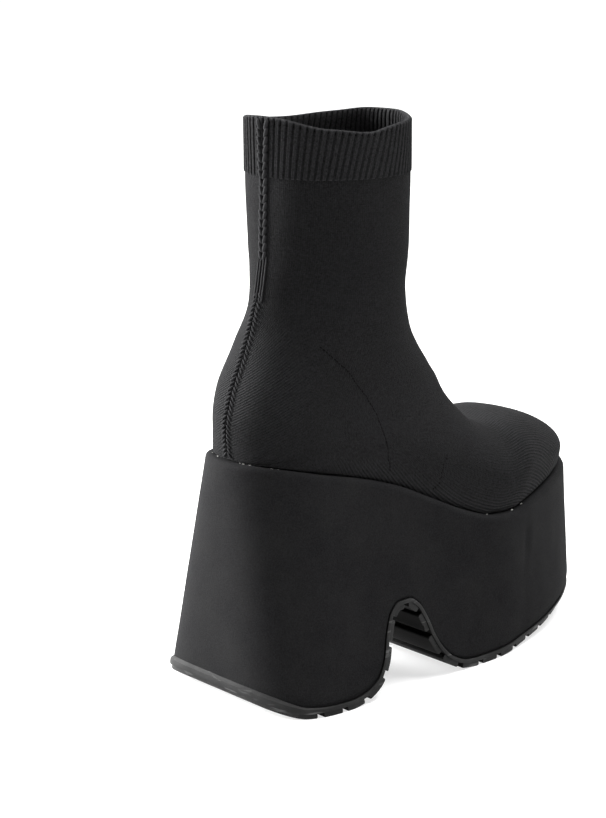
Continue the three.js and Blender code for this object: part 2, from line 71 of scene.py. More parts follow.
# Share of the foot's length, and of the way down from the heel to the ball
FOOT_DROPS = np.array([
    (0.00, 0.00), (0.05, 0.04), (0.15, 0.155), (0.24, 0.27), (0.33, 0.42),
    (0.42, 0.635), (0.50, 0.82), (0.58, 0.95), (0.67, 1.00), (1.00, 1.00),
])
# The arch notch: along in shares of its width, rise in shares of its height
ARCH_ROWS = np.array([
    (-1.10, 0.000), (-0.90, 0.030), (-0.66, 0.130), (-0.50, 0.340), (-0.41, 0.640),
    (-0.30, 0.870), (-0.12, 0.985), (0.08, 0.995), (0.26, 0.900), (0.40, 0.700),
    (0.52, 0.460), (0.66, 0.270), (0.86, 0.110), (1.10, 0.020), (1.30, 0.000),
])


def read_column(rows, column, place):
    """A column of a table at a place, on a smooth curve through its rows."""
    x, y = rows[:, 0], rows[:, column]
    slope = np.diff(y) / np.diff(x)
    same_way = slope[:-1] * slope[1:] > 0
    total = np.where(same_way, slope[:-1] + slope[1:], 1)
    inner = np.where(same_way, 2 * slope[:-1] * slope[1:] / total, 0)
    tangent = np.concatenate(([slope[0]], inner, [slope[-1]]))
    place = np.clip(place, x[0], x[-1])
    i = np.clip(np.searchsorted(x, place, side="right") - 1, 0, len(x) - 2)
    span = x[i + 1] - x[i]
    t = (place - x[i]) / span
    return ((2 * t**3 - 3 * t**2 + 1) * y[i] + (t**3 - 2 * t**2 + t) * tangent[i] * span
            + (3 * t**2 - 2 * t**3) * y[i + 1] + (t**3 - t**2) * tangent[i + 1] * span)


def round_end(distance, run, power):
    t = 1 - np.clip(distance / run, 0, 1)
    return (1 - t**power) ** (1 / power)


def axis_y(x):
    swing = np.maximum((x / FOOT_LENGTH - SWING_START) / (1 - SWING_START), 0)
    return TOE_SWING * swing**1.5


def foot_line_z(x):
    at = x / FOOT_LENGTH
    lift = TOE_LIFT * np.maximum((at - BALL_START) / (1 - BALL_START), 0) ** 1.25
    return HEEL_HEIGHT + (BALL_HEIGHT - HEEL_HEIGHT) * read_column(FOOT_DROPS, 1, at) + lift


def foot_side(x, side):
    return read_column(FOOT_SIDES, 1 if side == "outer" else 2, x / FOOT_LENGTH) * BALL_WIDTH


def foot_half(x, side):
    heel = round_end(x, HEEL_ROUND, 2.1)
    return foot_side(x, side) * round_end(FOOT_LENGTH - x, TOE_ROUND, 1.9) * heel


def base_half(x, side):
    length = BASE_REAR + FOOT_LENGTH + BASE_FRONT
    at = (x + BASE_REAR) / length
    share = read_column(BASE_SIDES, 1 if side == "outer" else 2, at)
    follow = read_column(BASE_SIDES, 3, at)
    width = BASE_HEEL_WIDTH + (BASE_BALL_WIDTH - BASE_HEEL_WIDTH) * follow
    heel = round_end(x + BASE_REAR, BASE_HEEL_ROUND, 2.9 if side == "outer" else 3.5)
    return share * width * heel * round_end(FOOT_LENGTH + BASE_FRONT - x, BASE_TOE_ROUND, 2)


def underside_z(x):
    along = (x - ARCH_PLACE) / ARCH_WIDTH
    notch = read_column(ARCH_ROWS, 1, along) * (ARCH_HEIGHT - SOLE_THICKNESS)
    start = BALL_START * FOOT_LENGTH
    run = FOOT_LENGTH + BASE_FRONT - start
    spring = TOE_SPRING * (np.maximum(x - start, 0) / run) ** 1.35
    behind = np.maximum(HEEL_BEVEL_RUN - BASE_REAR - x, 0)
    return SOLE_THICKNESS + notch + spring + HEEL_BEVEL * (behind / HEEL_BEVEL_RUN) ** 1.5


def even_turns(count):
    """Turns from the heel to the toe, evenly spaced along the base and closer in the notch."""
    turn = np.linspace(0, math.pi, 6000)
    x = -BASE_REAR + (BASE_REAR + FOOT_LENGTH + BASE_FRONT) * (1 - np.cos(turn)) / 2
    y = base_half(x, "outer")
    near = 1 + 2.2 * np.exp(-(((x - ARCH_PLACE) / (0.62 * ARCH_WIDTH)) ** 4))
    step = np.hypot(np.diff(x), np.diff(y)) * (near[1:] + near[:-1]) / 2
    length = np.concatenate(([0], np.cumsum(step)))
    return np.interp(np.linspace(0, length[-1], count + 1), length, turn)


def outline(turns, start, length, half):
    """The outer side from heel to toe, and the inner side back again, as one closed ring."""
    x = start + length * (1 - np.cos(turns)) / 2
    outer = np.stack([x, axis_y(x) - half(x, "outer")], axis=1)
    inner = np.stack([x, axis_y(x) + half(x, "inner")], axis=1)
    return np.concatenate([outer, inner[-2:0:-1]])


def outward(ring):
    along = np.roll(ring, -1, axis=0) - np.roll(ring, 1, axis=0)
    along /= np.linalg.norm(along, axis=1, keepdims=True)
    return np.stack([along[:, 1], -along[:, 0]], axis=1)


STATIONS = 330
turns = even_turns(STATIONS)
top_ring = outline(turns, 0, FOOT_LENGTH, foot_half)
top_ring = top_ring + LEDGE * outward(top_ring)
base_ring = outline(turns, -BASE_REAR, BASE_REAR + FOOT_LENGTH + BASE_FRONT, base_half)
base_out = outward(base_ring)
top_z = foot_line_z(top_ring[:, 0]) - GAP
ledge_z = top_z - LEDGE_ROUND


def wall_ring(z, proud=0.0):
    """The flared wall at a height for each station, as x and y."""
    share = np.clip(z / ledge_z, 0, 1)[:, None]
    under = np.clip(1 - z / ROLL_HEIGHT, 0, 1) ** 1.5
    rolled = np.clip((base_ring[:, 0] / FOOT_LENGTH - ROLL_START) / ROLL_SPREAD, 0, 1)
    out = proud - TOE_ROLL * under * rolled
    return base_ring * (1 - share) + top_ring * share + base_out * out[:, None]


bottom_z = underside_z(base_ring[:, 0])
for _ in range(60):
    bottom_z = (bottom_z + underside_z(wall_ring(bottom_z)[:, 0])) / 2


# Soft folds of the cloth. Each runs mostly upright: place and height of its middle, side
# (-1 outer, 1 inner), half length, half width, depth inward, and lean forward over its length.
CLOTH_FOLDS = [
    (177, 60, -1, 15, 2.6, 0.42, 2), (183, 57, -1, 13, 2.8, -0.28, 3), (188, 30, -1, 20, 4.5, 0.20, -4),
    (216, 52, -1, 18, 4.0, 0.15, 4), (150, 36, -1, 20, 6.0, 0.22, 8), (166, 24, -1, 12, 5.0, -0.2, 5),
    (22, 86, -1, 26, 5.0, 0.35, -5), (34, 64, -1, 30, 7.0, 0.30, 4), (12, 54, -1, 24, 5.0, 0.28, -3),
    (46, 30, -1, 16, 8.0, 0.20, 5), (200, 42, 1, 24, 4.0, 0.40, 3), (150, 34, 1, 20, 6.0, 0.25, -5),
    (20, 70, 1, 26, 5.5, 0.35, 4), (236, 46, 1, 18, 4.0, 0.25, -3), (232, 44, -1, 18, 4.5, 0.22, 3),
]


def cloth_relief(x, y, z):
    depth = np.zeros_like(x)
    side = np.sign(y - axis_y(x))
    for place, height, fold_side, half_length, half_width, deep, lean in CLOTH_FOLDS:
        up = (z - height) / half_length
        off = (x - place - lean * up) / half_width
        depth -= deep * np.exp(-off**2 - up**2) * (side == fold_side)
    ripple = 0.10 * np.sin(x / 9.0 + 0.8 * np.sin(z / 17.0)) * np.sin(z / 13.0 + y / 21.0)
    return depth + ripple


def grid_faces(rows, columns, wrap):
    """Quads of a grid of points, stored row by row. wrap joins the last column to the first."""
    r = np.arange(rows - 1)[:, None]
    c = np.arange(columns if wrap else columns - 1)[None, :]
    near, far = r * columns + c, r * columns + (c + 1) % columns
    return np.stack([near, far, far + columns, near + columns], axis=-1).reshape(-1, 4)


def make_piece(name, points, faces, material, slot_name, sharp=None):
    """A closed mesh from points in millimetres."""
    mesh = bpy.data.meshes.new(name)
    mesh.from_pydata(((points + ORIGIN) / 1000).tolist(), [], [list(face) for face in faces])
    piece = bpy.data.objects.new(name, mesh)
    bpy.context.scene.collection.objects.link(piece)
    mesh.materials.append(material)
    mesh.polygons.foreach_set("use_smooth", [True] * len(mesh.polygons))
    if sharp is not None:
        mesh.set_sharp_from_angle(angle=math.radians(sharp))
    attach(piece, "root")
    return piece


def merged(points, faces, distance=1e-3):
    """Points that fall together made one, and faces that lose their area left out."""
    keys = np.round(points / distance).astype(np.int64)
    _, first, back = np.unique(keys, axis=0, return_index=True, return_inverse=True)
    back = back.reshape(-1)
    kept = []
    for face in faces:
        corners = list(dict.fromkeys(back[list(face)].tolist()))
        if len(corners) > 2:
            kept.append(corners)
    return points[first], kept


def add_node(tree, kind, settings=None, **links):
    """Adds a node with its settings, and sets or links its inputs by name."""
    node = tree.nodes.new(kind)
    for key, value in (settings or {}).items():
        setattr(node, key, value)
    for key, value in links.items():
        socket = node.inputs[int(key[1:])] if key[1:].isdigit() else node.inputs[key.replace("_", " ")]
        if isinstance(value, bpy.types.NodeSocket):
            tree.links.new(value, socket)
        else:
            socket.default_value = value
    return node


def linear(hex_colour):
    """An sRGB hex colour as linear red, green, blue and alpha."""
    parts = [int(hex_colour[i:i + 2], 16) / 255 for i in (1, 3, 5)]
    return [p / 12.92 if p <= 0.04045 else ((p + 0.055) / 1.055) ** 2.4 for p in parts] + [1.0]


def new_material(name):
    material = bpy.data.materials.new(name)
    material.use_nodes = True
    tree = material.node_tree
    return material, tree, tree.nodes["Principled BSDF"]


# Microfibre cloth, brushed: a short nap scatters light softly, so it never shines, and handling
# leaves faint paler patches. Its thread is finer than the render shows, so it is drawn 0.5 mm wide.
cloth, tree, surface = new_material("brushed_microfibre")
place = add_node(tree, "ShaderNodeTexCoord").outputs["Object"]
patches = add_node(tree, "ShaderNodeTexNoise", Vector=place, Scale=38.0, Detail=4.0, Roughness=0.6)
nap = add_node(tree, "ShaderNodeTexNoise", Vector=place, Scale=1300.0, Detail=3.0, Roughness=0.8)
tone = add_node(tree, "ShaderNodeValToRGB", Fac=patches.outputs["Fac"])
tone.color_ramp.elements[0].position, tone.color_ramp.elements[1].position = 0.35, 0.75
tone.color_ramp.elements[0].color = linear("#111112")
tone.color_ramp.elements[1].color = linear("#191919")
nap_height = add_node(tree, "ShaderNodeMath", {"operation": "ADD"}, _0=nap.outputs["Fac"], _1=patches.outputs["Fac"])
bump = add_node(tree, "ShaderNodeBump", Height=nap_height.outputs[0], Strength=0.5, Distance=0.0004)
lit = add_node(tree, "ShaderNodeMapRange", _0=nap.outputs["Fac"], _1=0.35, _2=0.65, _3=0.0, _4=0.4)
brushed = add_node(tree, "ShaderNodeMix", {"data_type": "RGBA"}, _0=lit.outputs[0],
                   _6=tone.outputs["Color"], _7=linear("#2a2a2b"))
tree.links.new(brushed.outputs[2], surface.inputs["Base Color"])
tree.links.new(bump.outputs["Normal"], surface.inputs["Normal"])
surface.inputs["Roughness"].default_value = 0.85
surface.inputs["Specular IOR Level"].default_value = 0.03
surface.inputs["Sheen Weight"].default_value = 0.005
surface.inputs["Sheen Roughness"].default_value = 0.5

WALL_ROWS = 46
levels = []
for row in np.linspace(0, 1, WALL_ROWS):
    z = bottom_z + (ledge_z - bottom_z) * row
    ring = wall_ring(z)
    fade = np.clip(6 * row, 0, 1) * np.clip(6 * (1 - row), 0, 1)
    ring = ring + base_out * (cloth_relief(ring[:, 0], ring[:, 1], z) * fade)[:, None]
    levels.append(np.column_stack([ring, z]))
hem = wall_ring(bottom_z + 0.0) - 1.6 * base_out
levels.insert(0, np.column_stack([hem, underside_z(hem[:, 0]) + 0.05]))
top_out = outward(top_ring)
for turn in np.radians([18, 36, 54, 72, 88]):
    inset = LEDGE_ROUND * (math.cos(turn) - 1)
    ring = top_ring + inset * top_out
    levels.append(np.column_stack([ring, ledge_z + LEDGE_ROUND * math.sin(turn)]))
inner_top = top_ring - 1.9 * LEDGE_ROUND * top_out
levels.append(np.column_stack([inner_top, foot_line_z(inner_top[:, 0]) - GAP]))


def loops_across(levels):
    """Levels of a closed outline, as one loop round each station from the outer to the inner side."""
    stack = np.stack(levels)
    outer = stack[:, :STATIONS + 1]
    inner = np.concatenate([stack[:, :1], stack[:, :STATIONS - 1:-1]], axis=1)
    return np.concatenate([outer, inner[::-1]]).transpose(1, 0, 2)


loops = loops_across(levels)
faces = grid_faces(loops.shape[0], loops.shape[1], wrap=True)
platform = make_piece("wrapped_platform", *merged(loops.reshape(-1, 3), faces), cloth, "wrap")
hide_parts("platform")

# Outsole
# One moulded sheet of grey rubber, glued under the cloth. Its band runs unbroken round the edge,
# and lugs cross it from side to side with grooves between them.
BAND_THICKNESS, BAND_PROUND, LUG_INSET = 2.6, 1.0, 0.7
LUG_PITCH, GROOVE_WIDTH, HEEL_PAD, LUG_BURIED = 15, 3.6, 29, 0.6
LAP_LENGTH, LAP_RISE, LAP_OUT = 20, 2.4, 0.9

path_x = np.linspace(-BEYOND, FOOT_LENGTH + BEYOND, 9000)
path_z = underside_z(path_x)
path_length = np.concatenate(([0], np.cumsum(np.hypot(np.diff(path_x), np.diff(path_z)))))
path_slope = np.gradient(path_z, path_x)


def under_path(distance, depth):
    """x and z under the platform, at a distance along its underside and a depth below it."""
    x = np.interp(distance, path_length, path_x)
    slope = np.interp(distance, path_length, path_slope)
    size = np.sqrt(1 + slope**2)
    return x + depth * slope / size, np.interp(distance, path_length, path_z) - depth / size


heel_tip = -BASE_REAR - BAND_PROUND
toe_tip = wall_ring(np.full(len(base_ring), 17.0), BAND_PROUND)[STATIONS, 0]


def wall_edges(x, z, proud):
    """x, stretched at both ends to the wall's own length, and y on the outer and inner side."""
    ring = wall_ring(np.full(len(base_ring), max(z, 0.0)), proud)
    outer, inner = ring[:STATIONS + 1], np.concatenate([ring[:1], ring[:STATIONS - 1:-1]])
    x = np.interp(x, [heel_tip, heel_tip + 20, toe_tip - 20, toe_tip],
                  [outer[0, 0], heel_tip + 20, toe_tip - 20, outer[-1, 0]])
    return x, np.interp(x, outer[:, 0], outer[:, 1]), np.interp(x, inner[:, 0], inner[:, 1])


def sole_loops(distances, corners):
    """One closed loop across the sole at each distance. corners are (depth, inset) from the top
    round the outer edge, either the same for all or worked out from the place in the row."""
    loops = []
    for i, distance in enumerate(distances):
        rows = corners(i) if callable(corners) else corners
        points = {"outer": [], "inner": []}
        row_x = under_path(distance, 0)[0]
        free = np.clip(min(row_x - heel_tip, toe_tip - row_x) / 6, 0, 1)
        for depth, inset in rows:
            x, z = under_path(distance, depth)
            x = row_x + (x - row_x) * free
            x, low, high = wall_edges(x, z, BAND_PROUND - inset)
            points["outer"].append((x, low, z))
            points["inner"].append((x, high, z))
        loops.append(points["outer"] + points["inner"][::-1])
    return np.array(loops)


# Rubber, moulded matt, greyed by dust and small scuffs round the edge, which is 6 mm high. Faces that look down are
# painted near black, as painted shade under the sole.
rubber, tree, surface = new_material("moulded_rubber")
place = add_node(tree, "ShaderNodeTexCoord").outputs["Object"]
dust = add_node(tree, "ShaderNodeTexNoise", Vector=place, Scale=60.0, Detail=5.0, Roughness=0.65)
scuff_stretch = add_node(tree, "ShaderNodeMapping", Vector=place)
scuff_stretch.inputs["Scale"].default_value = (60.0, 60.0, 420.0)
scuffs = add_node(tree, "ShaderNodeTexNoise", Vector=scuff_stretch.outputs["Vector"], Scale=1.0, Detail=3.0)
scuff_mask = add_node(tree, "ShaderNodeValToRGB", Fac=scuffs.outputs["Fac"])
scuff_mask.color_ramp.elements[0].position, scuff_mask.color_ramp.elements[1].position = 0.60, 0.74
tone = add_node(tree, "ShaderNodeValToRGB", Fac=dust.outputs["Fac"])
tone.color_ramp.elements[0].position, tone.color_ramp.elements[1].position = 0.3, 0.7
tone.color_ramp.elements[0].color = linear("#1f1f1f")
tone.color_ramp.elements[1].color = linear("#2f2f2f")
worn = add_node(tree, "ShaderNodeMix", {"data_type": "RGBA"}, _0=scuff_mask.outputs["Color"],
                _6=tone.outputs["Color"], _7=linear("#565656"))
grain = add_node(tree, "ShaderNodeTexNoise", Vector=place, Scale=1400.0, Detail=2.0)
bump = add_node(tree, "ShaderNodeBump", Height=grain.outputs["Fac"], Strength=0.3, Distance=0.0003)
at_edge = add_node(tree, "ShaderNodeAttribute", {"attribute_name": "edge"}).outputs["Fac"]
# Painted shade: away from the edge, the rubber's colour is near black.
shade_painted_below = add_node(tree, "ShaderNodeMix", {"data_type": "RGBA"}, _0=at_edge,
                       _6=linear("#040404"), _7=worn.outputs[2])
tree.links.new(shade_painted_below.outputs[2], surface.inputs["Base Color"])
tree.links.new(bump.outputs["Normal"], surface.inputs["Normal"])
surface.inputs["Roughness"].default_value = 0.6
surface.inputs["Specular IOR Level"].default_value = 0.08

sole_start, sole_end = np.interp([heel_tip, toe_tip], path_x, path_length)
even, crowded = np.linspace(0, 1, 420), (1 - np.cos(np.linspace(0, math.pi, 420))) / 2
distances = sole_start + (sole_end - sole_start) * (0.55 * even + 0.45 * crowded)


def band_corners(i):
    """Depth and inset round the band's edge. At the back the band stands out and laps up the cloth."""
    from_back = max(np.interp(distances[i], path_length, path_x) + BASE_REAR, 0)
    lap = math.exp(-((from_back / LAP_LENGTH) ** 2))
    top, out = GAP - LAP_RISE * lap, -LAP_OUT * lap
    return [(top, 0.6 + 0.2 * lap), (top + 0.1, 0.2 + 0.5 * lap), (top + 0.4 + lap, out), (BAND_THICKNESS - 0.4, out),
            (BAND_THICKNESS - 0.1, 0.15 + out), (BAND_THICKNESS, 0.5 + out)]


loops = sole_loops(distances, band_corners)
sole_points, sole_faces = merged(loops.reshape(-1, 3), grid_faces(*loops.shape[:2], wrap=True), 0.01)
sole_faces = list(sole_faces)

first_groove = BEYOND - BASE_REAR + HEEL_PAD
edge_steps = np.array([0, 0.15, 0.5, 1.2])
for number in range(int((sole_end - first_groove) / LUG_PITCH) + 2):
    end = first_groove + number * LUG_PITCH - GROOVE_WIDTH / 2
    start = end - LUG_PITCH + GROOVE_WIDTH if number else sole_start
    middle = np.linspace(start + 2, end - 2, 7 if number else 40)
    places = np.concatenate([start + edge_steps, middle, end - edge_steps[::-1]])
    places = np.unique(np.clip(places, sole_start, sole_end))
    if len(places) < 4:
        continue

    def lug_corners(i):
        from_end = min(places[i] - places[0], places[-1] - places[i])
        deep = SOLE_THICKNESS - 0.5 * (1 - min(from_end / 0.5, 1)) ** 2
        return [(BAND_THICKNESS - LUG_BURIED, LUG_INSET), (deep - 0.5, LUG_INSET),
                (deep - 0.15, LUG_INSET + 0.15), (deep, LUG_INSET + 0.5)]

    loops = sole_loops(places, lug_corners)
    rows, columns = loops.shape[:2]
    faces = grid_faces(rows, columns, wrap=True).tolist()
    for row, order in ((0, -1), (rows - 1, 1)):
        if np.ptp(loops[row, :, 1]) > 0.1:
            faces.append([row * columns + c for c in range(columns)][::order])
    points, faces = merged(loops.reshape(-1, 3), faces, 0.01)
    sole_faces += [[corner + len(sole_points) for corner in face] for face in faces]
    sole_points = np.concatenate([sole_points, points])
outsole = make_piece("rubber_outsole", sole_points, sole_faces, rubber, "rubber", sharp=38)
# The edge: faces that look sideways, and those at the heel's back and at the toe. All other faces take the painted
# shade.
facing = np.array([face.normal for face in outsole.data.polygons])
middle_x = np.array([face.center[0] for face in outsole.data.polygons]) * 1000 - ORIGIN[0]
at_edge = (np.abs(facing[:, 1]) > 0.4) | ((middle_x < 14 - BASE_REAR) & (facing[:, 2] > -0.5))
at_edge |= (middle_x > FOOT_LENGTH - 30) & (facing[:, 2] > -0.6)
outsole.data.attributes.new("edge", "FLOAT", "FACE").data.foreach_set("value", at_edge.astype(np.float32))
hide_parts("outsole")

# Insole
# A thin foam board lined with black cloth, laid loose inside the upper. It is only seen through
# the collar.
lining, tree, surface = new_material("lining_cloth")
place = add_node(tree, "ShaderNodeTexCoord").outputs["Object"]
weave = add_node(tree, "ShaderNodeTexNoise", Vector=place, Scale=900.0, Detail=3.0)
bump = add_node(tree, "ShaderNodeBump", Height=weave.outputs["Fac"], Strength=0.3, Distance=0.0003)
tree.links.new(bump.outputs["Normal"], surface.inputs["Normal"])
surface.inputs["Base Color"].default_value = linear("#121213")
surface.inputs["Roughness"].default_value = 0.9
surface.inputs["Specular IOR Level"].default_value = 0.1
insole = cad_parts["insole"]
insole.data.materials.clear()
insole.data.materials.append(lining)

# Knitted upper
# One seamless knitted sock of black yarn, stretched over the last and lasted to the platform. Its
# wales run down the leg and along the foot, and it is sewn up the back.
BOOT_HEIGHT, WALL = 306, 2
LEG_DEPTH, LEG_WIDTH, COLLAR_DIP, INSTEP_RISE, HEEL_SUNK = 92.5, 75.5, 6, 62, 20
FRONT_ROUND_FOOT, FRONT_ROUND_LEG, HEEL_TIP_ROUND = 2.05, 2.15, 2.3
# back up, front up, back, front, leg, width, widest, round
LEG_SECTIONS = [
    (1.000, 0.982, 0.091, 0.450, 1.00, 1.00, 0.52, 2.10),
    (0.823, 0.810, 0.092, 0.450, 1.00, 1.00, 0.52, 2.10),
    (0.620, 0.615, 0.091, 0.455, 0.98, 0.98, 0.50, 1.95),
    (0.443, 0.470, 0.077, 0.510, 0.86, 0.92, 0.46, 1.75),
    (0.310, 0.365, 0.046, 0.545, 0.55, 0.910, 0.55, 2.07),
    (0.190, 0.262, 0.010, 0.566, 0.28, 0.905, 0.66, 2.27),
    (0.090, 0.182, -0.005, 0.575, 0.08, 0.915, 0.73, 2.01),
]
# front, rise, back, widest, full, round
FOOT_SECTIONS = [
    (0.581, 1.172, 0.000, 0.68, 1.060, 2.02), (0.587, 1.115, 0.031, 0.69, 1.075, 2.05),
    (0.595, 1.052, 0.085, 0.67, 1.090, 2.05), (0.605, 0.987, 0.174, 0.65, 1.100, 2.05),
    (0.620, 0.910, 0.279, 0.63, 1.103, 2.05), (0.642, 0.808, 0.388, 0.58, 1.072, 2.08),
    (0.668, 0.715, 0.484, 0.55, 1.045, 2.05), (0.702, 0.660, 0.574, 0.55, 1.040, 2.08),
    (0.746, 0.692, 0.651, 0.55, 1.040, 2.15), (0.791, 0.662, 0.721, 0.55, 1.040, 2.25),
    (0.839, 0.597, 0.791, 0.55, 1.040, 2.30), (0.888, 0.512, 0.853, 0.56, 1.040, 2.30),
    (0.930, 0.410, 0.907, 0.58, 1.040, 2.30), (0.963, 0.300, 0.950, 0.62, 1.040, 2.30),
    (0.985, 0.190, 0.979, 0.66, 1.040, 2.30), (0.996, 0.120, 0.994, 0.70, 1.040, 2.30),
    (1.000, 0.080, 0.999, 0.72, 1.040, 2.30),
]
LAST_U = len(LEG_SECTIONS) + len(FOOT_SECTIONS) - 1


def end_power(t, width):
    """Exponent of a rounded end that is full at 0, closed at 1 and has the given width at t."""
    low, high = 1.6, 9.0
    for _ in range(24):
        power = (low + high) / 2
        if (1 - t**power) ** (1 / power) < width:
            low = power
        else:
            high = power
    return (low + high) / 2


def leg_section(back_up, front_up, back, front, leg, width, widest, roundness):
    height = BOOT_HEIGHT - HEEL_HEIGHT
    back_x = back * FOOT_LENGTH
    front_x = front * FOOT_LENGTH * (1 - leg) + (back_x + LEG_DEPTH) * leg
    half = width * LEG_WIDTH / 2
    front_round = FRONT_ROUND_FOOT * (1 - leg) + FRONT_ROUND_LEG * leg
    return (front_x, HEEL_HEIGHT + front_up * height, back_x, HEEL_HEIGHT + back_up * height,
            half, half, widest, front_round, roundness)


def foot_section(front, rise, back, widest, full, roundness):
    top = np.array([front * FOOT_LENGTH, foot_line_z(front * FOOT_LENGTH) + rise * INSTEP_RISE])
    meet = np.array([back * FOOT_LENGTH, foot_line_z(back * FOOT_LENGTH)])
    down = np.linalg.norm(meet - top)
    sunk = min(meet[0], HEEL_SUNK)
    low = meet + (meet - top) / down * sunk
    place = widest * down / (down + sunk)
    t = (down / (down + sunk) - place) / (1 - place)
    toe = round_end(FOOT_LENGTH - meet[0], TOE_ROUND, 1.9)
    heel = round_end(meet[0], HEEL_ROUND, 2.1)
    back_round = end_power(t, heel / full) if sunk > 0 else HEEL_TIP_ROUND
    return (top[0], top[1], low[0], low[1], foot_side(meet[0], "outer") * toe * full,
            foot_side(meet[0], "inner") * toe * full, place, roundness, back_round)


section_rows = [leg_section(*row) for row in LEG_SECTIONS]
section_rows += [foot_section(*row) for row in FOOT_SECTIONS]
sections = np.column_stack([np.arange(LAST_U + 1) / LAST_U, np.array(section_rows)])


def last_point(u, angle):
    """Point of the last: u from 0 at the collar to 1 at the toe, and angle from 0 at the back
    round the outer side to pi at the front."""
    u, angle = np.broadcast_arrays(np.clip(u, 0, 1), angle)
    front_x, front_z, back_x, back_z, outer, inner, widest, front_round, back_round = (
        read_column(sections, column, u) for column in range(1, 10))
    c, s = np.cos(angle), np.sin(angle)
    power = np.where(c > 0, back_round, front_round)
    reach = np.where(c > 0, 1 - widest, widest)
    along = widest + np.sign(c) * reach * np.abs(c) ** (2 / power)
    half = np.where(s >= 0, outer, inner) * np.abs(s) ** (2 / power)
    x = front_x + (back_x - front_x) * along
    dip = COLLAR_DIP * s * s * np.clip(1 - u * LAST_U, 0, 1)
    return np.stack([x, axis_y(x) - np.sign(s) * half, front_z + (back_z - front_z) * along - dip], axis=-1)


def last_normal(u, angle):
    du, da = 2e-3, 1e-2
    along = last_point(np.minimum(u + du, 1), angle) - last_point(np.maximum(u - du, 0), angle)
    around = last_point(u, angle + da) - last_point(u, angle - da)
    normal = np.cross(along, around)
    return normal / np.maximum(np.linalg.norm(normal, axis=-1, keepdims=True), 1e-9)


def edge_angle(u):
    """Angle at which each section meets the platform, 0 where it closes above it."""
    low, high = np.zeros_like(u), np.full_like(u, math.pi)
    for _ in range(40):
        middle = (low + high) / 2
        point = last_point(u, middle)
        above = point[..., 2] > foot_line_z(point[..., 0])
        low, high = np.where(above, low, middle), np.where(above, middle, high)
    return np.where(high < 1e-6, 0, high)


def upper_angles(u, columns):
    """Angles of each section's points, from its outer edge over the front to its inner edge."""
    edge = edge_angle(u)[:, None]
    share = np.linspace(0, 1, columns)[None, :]
    return edge + (2 * math.pi - 2 * edge) * share


# Soft troughs and ridges of the knit, as (x, z) of the middle seen from the side, half length,
# half width, depth inward and slope in degrees: 0 lies level, 90 stands upright.
KNIT_FOLDS = [
    (172, 118, 26, 5.0, 0.30, 58), (163, 130, 30, 6.0, 0.25, 40), (181, 122, 18, 5.5, -0.15, 70),
    (96, 212, 40, 7.0, 0.35, 20), (70, 196, 34, 7.0, -0.25, 12), (112, 176, 36, 8.0, 0.30, 38),
    (40, 226, 22, 5.0, 0.30, -18), (58, 158, 34, 9.0, 0.25, 30), (132, 150, 24, 6.0, 0.25, 50),
    (62, 247, 36, 7.0, -0.55, 27), (66, 233, 36, 6.5, 0.40, 27), (206, 104, 20, 6.0, 0.25, 20),
]
HEEL_STEP_Z, HEEL_STEP = 208.0, 1.1


def knit_relief(points, from_seam):
    x, z = points[..., 0], points[..., 2]
    relief = np.zeros_like(x)
    for place, height, half_length, half_width, deep, slope in KNIT_FOLDS:
        turn = math.radians(slope)
        along = ((x - place) * math.cos(turn) + (z - height) * math.sin(turn)) / half_length
        off = (-(x - place) * math.sin(turn) + (z - height) * math.cos(turn)) / half_width
        relief -= deep * np.exp(-off**2 - along**2)
    step = 1 / (1 + np.exp((z - HEEL_STEP_Z) / 0.8)) * np.exp(-(np.maximum(HEEL_STEP_Z - z, 0) / 38))
    relief += HEEL_STEP * step * np.exp(-((from_seam / 16) ** 2))
    relief -= 0.3 * np.exp(-((from_seam / 1.1) ** 2)) * (z > 140)
    return relief


def ring_distance(points):
    """Distance along each ring from the front, negative on the outer side."""
    step = np.linalg.norm(np.diff(points, axis=1), axis=2)
    length = np.concatenate([np.zeros((len(points), 1)), np.cumsum(step, axis=1)], axis=1)
    return length - length[:, [points.shape[1] // 2]]


def course_distance(points):
    """Distance down each column from ring to ring, without its drift along the rings."""
    along = np.gradient(points, axis=1)[1:]
    along /= np.maximum(np.linalg.norm(along, axis=2, keepdims=True), 1e-9)
    step = np.diff(points, axis=0)
    step = np.linalg.norm(step - np.sum(step * along, axis=2, keepdims=True) * along, axis=2)
    return np.concatenate([np.zeros((1, points.shape[1])), np.cumsum(step, axis=0)])


HEEL_AXIS = 30.0
BRAID_END, RIBS_END, SEAM_END = 232.0, 214.0, 132.0   # heights where the seam's stitches change


def heel_place(points):
    """Distance round the heel from the back seam, outer side positive, and distance down."""
    x, y, z = points[..., 0], points[..., 1], points[..., 2]
    side = axis_y(x) - y
    turn = np.arctan2(np.abs(side), np.maximum(HEEL_AXIS - x, 0) + 1e-9)
    return np.sign(side) * (HEEL_AXIS * turn + np.maximum(x - HEEL_AXIS, 0)), BOOT_HEIGHT - z


UPPER_COLUMNS, INNER_COLUMNS = 281, 101
leg_u = np.linspace(0.12, len(LEG_SECTIONS) - 1, 130, endpoint=False)
foot_u = len(LEG_SECTIONS) - 1 + (LAST_U - len(LEG_SECTIONS) + 1) * np.linspace(0, 1, 130) ** 0.93
u = np.concatenate([leg_u, foot_u]) / LAST_U
edge = edge_angle(u)
angles = upper_angles(u, UPPER_COLUMNS)
outer_skin = last_point(u[:, None], angles)
normals = last_normal(u[:, None], angles)
from_front = np.abs(ring_distance(outer_skin))
course = course_distance(outer_skin)
on_outer_side = np.arange(UPPER_COLUMNS) <= UPPER_COLUMNS // 2
from_edge = np.where(on_outer_side, from_front[:, [0]], from_front[:, [-1]]) - from_front
round_heel, down_heel = heel_place(outer_skin)
tuck = np.exp(-((from_edge / 1.6) ** 2)) * (edge[:, None] > 0)
outer_skin = outer_skin + normals * (knit_relief(outer_skin, round_heel) - 0.9 * tuck)[..., None]
for column in (0, -1):
    outer_skin[edge > 0, column, 2] = foot_line_z(outer_skin[edge > 0, column, 0])
